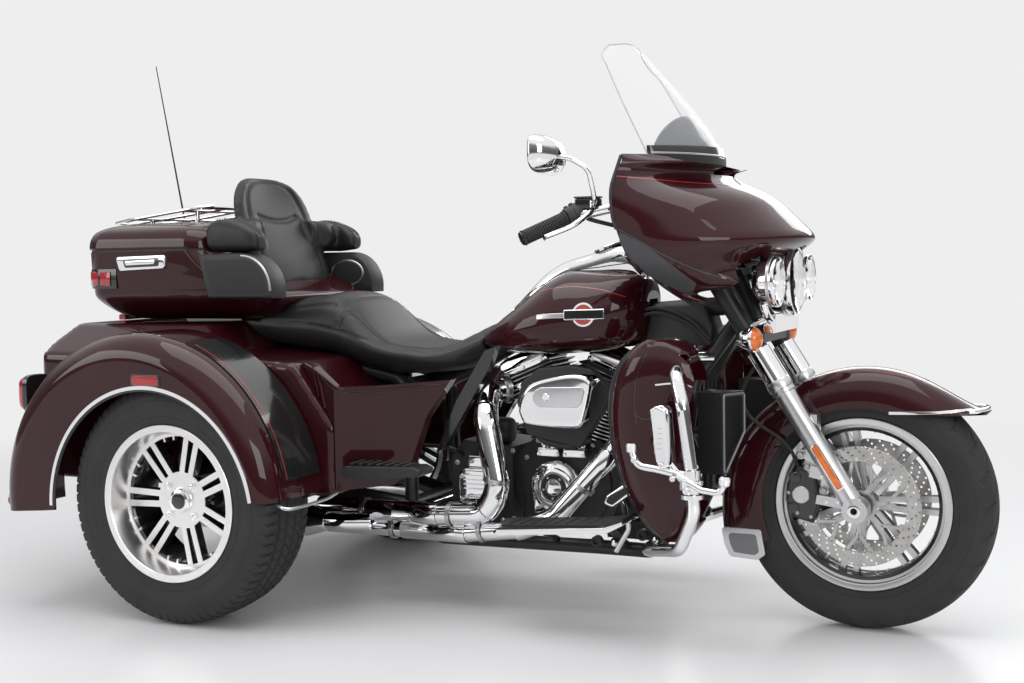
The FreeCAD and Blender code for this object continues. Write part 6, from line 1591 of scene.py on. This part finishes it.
def calipers():
    """The front brakes' bodies, badges, bolts and brackets."""
    bodies, plates, bolts = [], [], []
    outline = [(1560, 420), (1520, 414), (1494, 372), (1492, 330), (1512, 288), (1560, 276), (1574, 330),
               (1566, 384)]
    for sign in (-1, 1):
        shape = crowned(rounded_outline(outline, 16), -86, -106.5, 7, 5)
        bodies.append(shape if sign < 0 else mirrored(shape))
        bridge = merged(*[crowned(rounded_outline([(x, z), (x + 26, z + 6), (x + 24, z + 34),
                                                   (x - 4, z + 28)], 6), -104, -111, 3)
                                                   for x, z in ((1504, 372), (1500, 296))])
        bodies.append(bridge if sign < 0 else mirrored(bridge))
        out = (0, sign, 0)
        plates.append(turned([(0, 22), (4, 22), (6, 20), (6, 15), (5, 14.5), (5, 0.4)], 40,
                             (1530, sign * 105, 346), out))
        for x, z in ((1518, 398), (1552, 406), (1522, 300), (1556, 292), (1500, 350)):
            bolts.append(cap_screw((x, sign * 106, z), out, 5, 5))
        for x, z, reach in ((1533, 449, 8), (1550, 420, 7), (1590, 362, 8)):
            bolts.append(cap_screw((x, sign * 119, z), out, reach, 7))
            bolts.append(turned([(-14, reach + 4), (0, reach + 4), (1, reach + 2)], 30, (x, sign * 118, z),
                                out))
    steered("caliper_bodies", merged(*bodies), "black_gloss", corner=45)
    steered("caliper_plates", merged(*plates), "satin_metal")
    steered("caliper_bolts", merged(*bolts), "steel")
    links = [prism([(1524, 458), (1546, 462), (1606, 396), (1600, 352), (1580, 348), (1582, 388)],
                   sign * 112 - 3, sign * 112 + 3) for sign in (-1, 1)]
    steered("caliper_brackets", merged(*links), "satin_metal", bevel=1.2)


def fender_row(degrees, half, reach):
    """Points across the front fender's crown at an angle round the axle, standing off by reach."""
    turn = math.radians(degrees)
    crown = 376 + (degrees - 194) * 0.6 + reach
    row = []
    for k in range(25):
        share = -1 + 2 * k / 24
        y = half * math.copysign(abs(math.sin(share * math.pi / 2)) ** 0.9, share)
        level = crown - 70 * (1 - (1 - min(abs(y) / 82, 0.9999) ** 2.3) ** (1 / 2.3))
        row.append((AXLE[0] + level * math.cos(turn), y, AXLE[1] + level * math.sin(turn)))
    return row


def fender_trim():
    """Strips, tip, plates and lamp cap of the front fender."""
    strip = at_y(STRIP_Y, [(1600, 554), (1660, 554), (1768, 556), (1860, 559), (1930, 565)])
    steered("front_fender_strips", both(line_on("front_fender", strip, LEFT, 9, 3.4)), "chrome", bevel=0.8)
    tip = [(1925, -64, 562), (1944, -52, 563), (1958, -28, 564), (1963, 0, 565), (1958, 28, 564),
           (1944, 52, 563), (1925, 64, 562)]
    steered("front_fender_tip", tube(smooth_path(tip, 5), 6.5, 12), "chrome")
    pin = at_y(STRIP_Y, [(1560, 640), (1660, 655), (1780, 640), (1880, 606), (1940, 576)])
    steered("front_fender_stripes", both(line_on("front_fender", pin, LEFT, 2, 0.5)), "pinstripe")
    plate = rounded_outline([(1316, 246), (1421, 246), (1432, 180), (1412, 166), (1340, 170), (1325, 200)],
                            9)
    steered("front_fender_plates", both(crowned(plate, -79, -83.4, 2)), "satin_metal")
    window = rounded_outline([(1334, 232), (1408, 232), (1416, 186), (1404, 178), (1350, 182), (1340, 204)],
                             9)
    steered("front_fender_windows", both(crowned(window, -83, -84.6, 1)), "radiator_grey")
    for name, finish_name, degrees, half, reach in (
            ("front_fender_cap", "satin_metal", range(194, 205, 2), 81.4, 3.0),
            ("front_fender_reflector", "lamp_glass", range(196, 203, 2), 66, 4.6)):
        rows = [fender_row(angle, half, reach) for angle in degrees]
        item = steered(name, skin(rows, around=False, caps=False), finish_name, corner=60)
        thickened(item, 1.5, 0)
    bolts = [cap_screw((x, sign * 88, z), (0, sign, 0), 5, 3) for sign in (-1, 1)
             for x, z in ((1572, 512), (1556, 500))]
    steered("front_fender_bolts", merged(*bolts), "chrome")


def lamps():
    """Three bright buckets with clear fluted glass on their bar, and two amber bullets."""
    buckets, glass, inner, bands = [], [], [], []
    for y, z, reach, front in ((0, 878, 88, 1500), (-165, 880, 61, 1494), (165, 880, 61, 1494)):
        k = reach / 86
        bucket = [(-100 * k, 26 * k), (-74 * k, 66 * k), (-50 * k, 81 * k), (-20 * k, 85 * k),
                  (-14 * k, 88 * k), (-6 * k, 89 * k), (-1, 87 * k), (-0.5, 82 * k), (-5 * k, 79 * k),
                  (-16 * k, 70 * k), (-34 * k, 47 * k), (-44 * k, 18 * k), (-46 * k, 0.4)]
        if y == 0:
            bucket = [(-66, 60), (-60, 78)] + bucket[3:]
        buckets.append(turned(bucket, 96, (front, y, z), AHEAD))
        bands.append(turned([(-30 * k, 85 * k), (-30 * k, 87.2 * k), (-21 * k, 87.8 * k),
                             (-21 * k, 85 * k)], 96, (front, y, z), AHEAD, closed=True))
        lens = lathe([(-8 * k, 0.4), (-9 * k, 78 * k), (-3 * k, 80 * k), (1.5, 74 * k), (4.5, 50 * k),
                      (6.5, 24 * k), (7, 0.4)], 96)
        fluted = []
        for p in lens[0]:
            wave = 0.9 * math.sin(p.y / (5.2 * k)) if p.z > 1 and math.hypot(p.x, p.y) < 70 * k else 0
            fluted.append(Vector((p.x, p.y, p.z + wave)))
        glass.append(placed((fluted, lens[1]), (front, y, z), AHEAD))
        for shift in ((-0.34, 0.34) if y == 0 else (0,)):
            at = (front - 30 * k, y + shift * reach, z)
            inner.append(turned([(-12, 14), (0, 16), (4, 14), (6, 8), (6.5, 0.4)], 36, at, AHEAD))
            inner.append(turned([(-6, 22 * k + 6), (-2, 23 * k + 6), (-2, 20 * k + 4), (-6, 19 * k + 4)],
                                48, at, AHEAD, closed=True))
    steered("lamp_buckets", merged(*buckets), "chrome", stands_for=("headlamps",))
    steered("lamp_bands", merged(*bands), "satin_metal")
    steered("lamp_inner", merged(*inner), "chrome")
    steered("lamp_lenses", merged(*glass), "lamp_glass")
    bar_path = bent([(1452, -165, 828), (1455, -150, 800), (1460, -100, 776), (1460, 100, 776),
                     (1455, 150, 800), (1452, 165, 828)], 40)
    plate = [(1440, 750.4), (1440, 792), (1472, 800), (1472, 750.4)]
    side = tube(smooth_path([(1462, -118, 790), (1430, -128, 776), (1400, -126, 760)], 5), 9, 12)
    mount = merged(tube(bar_path, 11, 18), prism(plate, -118, 118), side, mirrored(side))
    steered("lamp_bar", mount, "chrome", bevel=3)
    bodies, ambers = [], []
    for sign in (-1, 1):
        at = (1420, sign * 172, 738)
        bodies.append(turned([(-34, 0.4), (-33, 6), (-26, 16), (-14, 25), (0, 30.5), (8, 32), (11, 31),
                              (11, 20)], 48, at, AHEAD))
        bodies.append(tube(smooth_path([(1416, sign * 160, 744), (1414, sign * 138, 758),
                                        (1416, sign * 112, 766)], 5), 8, 12))
        lens = lathe([(10, 20), (11, 30), (16, 29.4), (24, 24.5), (30, 15), (32.5, 6), (33, 0.4)], 48)
        ambers.append(placed(lens, at, AHEAD))
    steered("signal_bodies", merged(*bodies), "chrome", stands_for=("turn_signals",))
    steered("signal_lenses", merged(*ambers), "amber_lens")


def fairing_trim():
    """The fairing's seam, its dark lower panel and its stripe."""
    groove = at_y(FAIRING_Y, [(1149, 1014), (1200, 985), (1260, 948), (1334, 908), (1396, 886),
                              (1446, 872)])
    steered("fairing_seams", both(line_on("fairing_outer", groove, LEFT, 5, 1.2)), "black_gloss")
    high = smooth_path(at_y(FAIRING_Y, [(1150, 1008), (1196, 985), (1240, 955), (1280, 915), (1322, 872),
                                        (1352, 846)]), 5)
    low = smooth_path(at_y(FAIRING_Y, [(1150, 985), (1170, 948), (1208, 900), (1254, 868), (1296, 846),
                                       (1330, 838)]), 5)
    rows = [[top + (foot - top) * (k / 4) for k in range(5)] for top, foot in zip(high, low)]
    steered("fairing_low_panels", both(patch_on("fairing_outer", rows, LEFT, 1.6)), "dark_panel", corner=60)
    pin = at_y(-600, [(1140, 1143), (1201, 1136), (1286, 1127), (1342, 1123), (1372, 1122)])
    steered("fairing_stripes", both(line_on("fairing_outer", pin, LEFT, 2.6, 0.6)), "pinstripe")
    screen_trim()
    inner_panel()


def screen_trim():
    """The screen's foot, its smoked dome and its rounded edge."""
    trim, gold, dark = [], [], []
    for k in range(-24, 25):
        y = 251 * k / 24
        foot = on_surface("windshield", (1700, y, 1204), BACK)
        if foot is None:
            continue
        place = foot[0]
        trim.append([place + Vector((-6, 0, -8)), place + Vector((5, 0, -8)), place + Vector((3.2, 0, 4)),
                     place + Vector((-1, 0, 22 - abs(k) * 0.2)), place + Vector((-6, 0,
                             22 - abs(k) * 0.2))])
        gold.append([place + Vector((5.4, 0, -3)), place + Vector((5.8, 0, 0)),
                     place + Vector((5.0, 0, 1.4)), place + Vector((2.0, 0, -1))])
    steered("screen_foot", skin(trim), "black_gloss", corner=50)
    steered("screen_foot_strip", skin(gold), "satin_metal")
    for row in range(13):
        share = row / 12
        ring = []
        for k in range(-20, 21):
            y = 236 * k / 20
            dome = 1206 + 104 * max(0, 1 - (abs(k) / 20) ** 2.2) ** 0.7 * share
            found = on_surface("windshield", (1700, y, dome), BACK)
            ring.append(found[0] + Vector((-6.5, 0, 0)) if found else Vector((1200, y, dome)))
        dark.append(ring)
    thickened(steered("screen_dome", skin(dark, around=False, caps=False), "smoked_screen", corner=80), 1.0)
    edge = [(1188, -254, 1198.3), (1154, -248, 1264), (1106, -230, 1352), (1064, -208, 1432),
            (1042, -182, 1462), (1038, -125, 1492)]
    top = [(1047, -98, 1497.5), (1056, -50, 1504.5), (1060, 0, 1507), (1056, 50, 1504.5),
           (1047, 98, 1497.5)]
    line = edge + top + [(x, -y, z) for x, y, z in reversed(edge)]
    steered("screen_edge", tube(smooth_path(line, 5), 1.8, 8), "screen_edge")


def inner_panel():
    """Gauges with bright bezels, speakers and the dark rear edge of the fairing."""
    along = Vector((-1, 0, -0.25)).normalized()
    bezels, faces, hands = [], [], []
    for reach, y, z in ((46, -62, 1122), (46, 62, 1122), (28, -160, 1130), (28, 160, 1130)):
        at = Vector((1128, y, z))
        bezels.append(turned([(-2, reach + 2), (4, reach + 3), (6, reach), (3, reach - 4), (0, reach - 4)],
                             60, at, along, closed=True))
        faces.append(turned([(-1, reach - 3), (1.4, reach - 4), (1.6, 0.4)], 60, at, along))
        spin = Matrix.Rotation(0.9, 3, along)
        up = spin @ Vector((0.25, 0, -1)).normalized()
        hands.append(tube([at + along * 2.6 + up * 6, at + along * 2.6 - up * (reach - 12)], 1.0, 6))
        for n in range(11):
            tick = Matrix.Rotation(-2.2 + n * 0.44, 3, along) @ Vector((0.25, 0, -1)).normalized()
            hands.append(tube([at + along * 1.8 - tick * (reach - 7),
                               at + along * 1.8 - tick * (reach - 12)], 0.6, 5))
    steered("gauge_bezels", merged(*bezels), "chrome")
    steered("gauge_faces", merged(*faces), "black_gloss")
    steered("gauge_marks", merged(*hands), "satin_metal")
    grilles = []
    for sign in (-1, 1):
        at = Vector((1149, sign * 262, 1118))
        grilles.append(turned([(-4, 56), (4, 58), (7, 54), (5, 48), (7, 20), (8, 0.4)], 60, at, along))
    steered("dash_speakers", merged(*grilles), "black_plastic")
    rings = []
    for z, half, rear in ((1194, 329, 1147), (1165, 341, 1141), (1112, 361, 1132), (1050, 363, 1135),
                          (1014, 357, 1143)):
        rings.append((rear - 1.5, -half + 2, z))
    edge = both(tube(smooth_path(rings, 5), 4.5, 8))
    steered("fairing_edge", edge, "black_plastic")
    low = [(1150, -352, 1006), (1180, -330, 962), (1214, -300, 908), (1262, -250, 862), (1300, -220, 836)]
    inner = [(x - 10, y + 42, z - 22) for x, y, z in low]
    panel = []
    for a, b in zip(smooth_path(low, 5), smooth_path(inner, 5)):
        panel.append([a, a + Vector((-5, 4, -3)), b, b + Vector((8, 4, 6))])
    steered("fairing_lower_edge", both(skin(panel)), "black_plastic", corner=50)


def bars():
    """The bar with grips, switches, reservoirs, levers, risers and cables."""
    right = [(1294, 0, 942), (1286, -60, 946), (1262, -190, 1010), (1130, -300, 1072), (1010, -350, 1045),
             (930, -430, 998)]
    tube_path = bent(right, 70)
    steered("handlebar_tube", both(tube(tube_path, 12.8, 20)), "chrome", stands_for=("handlebar",))
    tip = Vector(right[-1])
    into = (Vector(right[-2]) - tip).normalized()
    cases, buttons = [], []
    profile = [(-6, 0.4), (-6, 16), (-2, 20)]
    for n in range(16):
        a = 2 + n * 6.9
        profile += [(a, 17.0), (a + 1.2, 18.6), (a + 4.6, 18.6), (a + 5.8, 17.0)]
    profile += [(114, 20.5), (118, 20.5), (119, 13)]
    grip = turned(profile, 40, tip, into)
    end = turned([(-10.5, 0.4), (-10.5, 10), (-8, 17), (-6, 17.5), (-5.8, 0.4)], 36, tip, into)
    start = tip + into * 119
    cases.append(turned([(0, 17), (2, 23), (10, 25), (40, 25), (50, 22), (53, 14)], 32, start, into))
    cases.append(turned([(22, 25.1), (22, 26.2), (24.4, 26.2), (24.4, 25.1)], 32, start, into, closed=True))
    for shift, rise in ((12, 24), (26, 26), (38, 22)):
        at = start + into * shift + Vector((-10, 0, rise - 4))
        buttons.append(turned([(-6, 6), (4, 6), (6, 4.6), (6.4, 0.4)], 20, at, (-0.5, 0, 1)))
    steered("grips", both(grip), "rubber")
    steered("grip_ends", both(end), "black_gloss")
    steered("switch_cases", both(merged(*cases)), "black_plastic")
    steered("switch_buttons", both(merged(*buttons)), "rubber")
    for name, low, high, bevel in (("reservoirs", (-30, -20, -12), (30, 20, 14), 5),
                                   ("reservoir_lids", (-31, -21, 14), (31, 21, 19), 2.5)):
        points, faces = block(low, high)
        moved = [p + start + into * 44 + Vector((20, 0, 18)) for p in points]
        steered(name, both((moved, faces)), "black_gloss", bevel=bevel)
    pivot = start + into * 44 + Vector((34, -6, 4))
    reach = [pivot, pivot - into * 30 + Vector((12, 0, -2)), pivot - into * 84 + Vector((22, -2, -8)),
             pivot - into * 134 + Vector((12, -4, -10)), pivot - into * 152 + Vector((12, -4, -9))]
    widths = [8, 7.2, 6.4, 6.2, 8.2]
    line = smooth_path(reach, 6)
    spread = [widths[min(n // 6, 4)] for n in range(len(line))]
    steered("levers", both(tube(line, spread, 14)), "chrome")
    risers = [turned([(0, 17), (6, 17), (8, 15), (30, 15), (34, 20), (52, 20), (56, 16)], 32,
                     (1290, s * 45, 912.4), UP) for s in (-1, 1)]
    steered("risers", merged(*risers), "chrome")
    cables = []
    for sign in (-1, 1):
        for shift in (0, 12):
            path = [start + into * 52 + Vector((12, 0, -14)), (1060, -318 + shift, 1040),
                    (1150, -262 + shift, 1010), (1230, -190 + shift, 960), (1292, -120 + shift, 930)]
            path = [Vector((p[0], p[1] * -sign, p[2])) for p in path]
            cables.append(tube(smooth_path(path, 6), 5, 10))
    steered("bar_cables", merged(*cables), "rubber")
    mirrors()


def mirrors():
    """Mirrors: round-cornered shells with their glass, on bent stems."""
    shells, glass, stems = [], [], []
    for sign in (-1, 1):
        mid_y, mid_z = sign * 450, 1194
        rings = []
        for x, w, h, power in ((984, 74, 42, 0.55), (987, 77, 45, 0.55), (992, 78, 46, 0.55),
                               (1002, 77, 45, 0.6),
                               (1016, 70, 40, 0.65), (1030, 52, 30, 0.75), (1039, 28, 16, 0.9)):
            ring = []
            for turn in even_turns(48):
                c, s = squarish(turn, power)
                ring.append((x, mid_y + w * c, mid_z + h * s + 0.1 * w * math.cos(turn) * sign))
            rings.append(ring)
        shells.append(skin(rings))
        face = [(983.2, mid_y + (y - mid_y) * 0.93, mid_z + (z - mid_z) * 0.9) for x, y, z in rings[0]]
        glass.append(skin([[(984.5, y, z) for x, y, z in face], face]))
        stem = [(1070, 330, 1080), (1096, 378, 1082), (1098, 396, 1110), (1096, 420, 1160),
                (1060, 440, 1184), (1030, 450, 1190)]
        stems.append(tube(bent([(x, sign * y, z) for x, y, z in stem], 40), 6, 14))
        foot = [(-8, 0.4), (-8, 11), (8, 11), (10, 8), (10, 0.4)]
        stems.append(turned(foot, 24, (1074, sign * 334, 1078), UP))
    steered("mirror_shells", merged(*shells), "chrome", stands_for=("mirrors",), corner=60)
    steered("mirror_stems", merged(*stems), "chrome")
    steered("mirror_glass", merged(*glass), "mirror_glass", corner=60)


# Camera, light and floor

CAMERA_PLACE = (1.7288, -3.5079, 0.9621)
CAMERA_YAW, CAMERA_PITCH, CAMERA_ROLL = (math.radians(a) for a in (25.376, 3.673, -1.011))
CAMERA_LENS, CAMERA_SENSOR = 48.64, 36
BACKDROP = (0.86, 0.855, 0.86, 1)
FLOOR_RADIUS = 30
FLOOR_FADE_FROM, FLOOR_FADE_TO = 2.0, 4.6


def make_camera():
    """The photo's own view: looking ahead, turned and tilted, with a slight roll."""
    ahead = Vector((-math.sin(CAMERA_YAW) * math.cos(CAMERA_PITCH),
                    math.cos(CAMERA_YAW) * math.cos(CAMERA_PITCH), -math.sin(CAMERA_PITCH)))
    level = Vector((math.cos(CAMERA_YAW), math.sin(CAMERA_YAW), 0))
    upright = level.cross(ahead)
    right = level * math.cos(CAMERA_ROLL) + upright * math.sin(CAMERA_ROLL)
    above = upright * math.cos(CAMERA_ROLL) - level * math.sin(CAMERA_ROLL)
    data = bpy.data.cameras.new("camera")
    data.lens = CAMERA_LENS
    data.sensor_width = CAMERA_SENSOR
    camera = linked("camera", data)
    camera.matrix_world = Matrix((right, above, -ahead)).transposed().to_4x4()
    camera.location = CAMERA_PLACE
    bpy.context.scene.camera = camera


def make_world():
    """A bright room: plain white behind the object, and a softer one with darker walls in what it mirrors."""
    world = bpy.data.worlds.new("studio")
    bpy.context.scene.world = world
    world.use_nodes = True
    tree = world.node_tree
    tree.nodes.clear()
    path = shader_node(tree, "LightPath")
    split = shader_node(tree, "SeparateXYZ")
    tree.links.new(shader_node(tree, "TexCoord").outputs["Generated"], split.inputs["Vector"])
    height = shader_node(tree, "MapRange", {"From Min": -1})
    tree.links.new(split.outputs["Z"], height.inputs["Value"])
    walls = shader_node(tree, "ValToRGB")
    levels = ((0.0, 0.40), (0.47, 0.34), (0.51, 0.10), (0.61, 0.20), (0.72, 0.95), (1.0, 1.0))
    ramp = walls.color_ramp.elements
    while len(ramp) < len(levels):
        ramp.new(0.5)
    for element, (at, tone) in zip(ramp, levels):
        element.position = at
        element.color = (tone, tone, tone * 1.01, 1)
    tree.links.new(height.outputs["Result"], walls.inputs["Fac"])
    room = shader_node(tree, "Background", {"Strength": 1.0})
    tree.links.new(walls.outputs["Color"], room.inputs["Color"])
    soft = shader_node(tree, "Background", {"Color": (0.97, 0.98, 1.0, 1), "Strength": 0.62})
    plain = shader_node(tree, "Background", {"Color": BACKDROP, "Strength": 1.0})
    lit = mixed(tree, path.outputs["Is Glossy Ray"], soft, room)
    seen = shader_node(tree, "Math")
    seen.operation = "MAXIMUM"
    tree.links.new(path.outputs["Is Camera Ray"], seen.inputs[0])
    tree.links.new(path.outputs["Is Transmission Ray"], seen.inputs[1])
    final = mixed(tree, seen.outputs[0], lit, plain)
    tree.links.new(final.outputs[0], shader_node(tree, "OutputWorld").inputs["Surface"])


def make_floor():
    """A pale floor that turns into the background's own tone far from the object."""
    mesh = bpy.data.meshes.new("floor")
    rim = [(x, y, 0) for x, y in oval((0, 0), FLOOR_RADIUS, FLOOR_RADIUS, even_turns(96))]
    mesh.from_pydata(rim, [], [tuple(range(96))])
    floor = linked("floor", mesh)
    material = bpy.data.materials.new("floor")
    material.use_nodes = True
    tree = material.node_tree
    shader = tree.nodes["Principled BSDF"]
    shader.inputs["Base Color"].default_value = (0.86, 0.86, 0.865, 1)
    shader.inputs["Roughness"].default_value = 0.32
    distance = shader_node(tree, "VectorMath")
    distance.operation = "LENGTH"
    tree.links.new(shader_node(tree, "TexCoord").outputs["Object"], distance.inputs[0])
    far = shader_node(tree, "MapRange", {"From Min": FLOOR_FADE_FROM, "From Max": FLOOR_FADE_TO})
    tree.links.new(distance.outputs["Value"], far.inputs["Value"])
    glow = shader_node(tree, "Emission", {"Color": BACKDROP})
    blend = mixed(tree, far.outputs["Result"], shader, glow)
    tree.links.new(blend.outputs[0], tree.nodes["Material Output"].inputs["Surface"])
    mesh.materials.append(material)


def area_lamp(name, at, aim, width, height, power, gloss=1.0):
    """A rectangular lamp that looks at a point."""
    data = bpy.data.lights.new(name, "AREA")
    data.shape = "RECTANGLE"
    data.size, data.size_y = width, height
    data.energy = power
    data.specular_factor = gloss
    lamp = linked(name, data)
    lamp.location = at
    lamp.rotation_mode = "QUATERNION"
    lamp.rotation_quaternion = (Vector(aim) - Vector(at)).to_track_quat("-Z", "Y")


def make_lights():
    """Four soft lamps round the object."""
    area_lamp("overhead", (0.2, -0.4, 4.2), (0.1, 0, 0.5), 4.5, 3.0, 95, 0.4)
    area_lamp("front_side", (4.2, -3.6, 2.2), (0.6, 0, 0.6), 2.4, 2.0, 60, 0.3)
    area_lamp("rear_side", (-3.6, -3.4, 2.0), (-0.4, 0, 0.5), 2.2, 1.8, 40, 0.3)
    area_lamp("far_side", (0.4, 4.2, 2.4), (0, 0, 0.6), 3.0, 1.6, 45)


bpy.context.scene.view_settings.view_transform = "Standard"
make_finishes()
dress_cad_nodes()
make_camera()
make_world()
make_floor()
make_lights()
rear_wheel("right", -1)
rear_wheel("left", 1)
front_wheel()
body_panels()
luggage_box()
seats()
tank_trim()
engine_dress()
exhaust()
foot_controls()
neck_cover()
lower_bodies()
radiator_cores()
pegs()
forks()
fender_trim()
lamps()
fairing_trim()
bars()
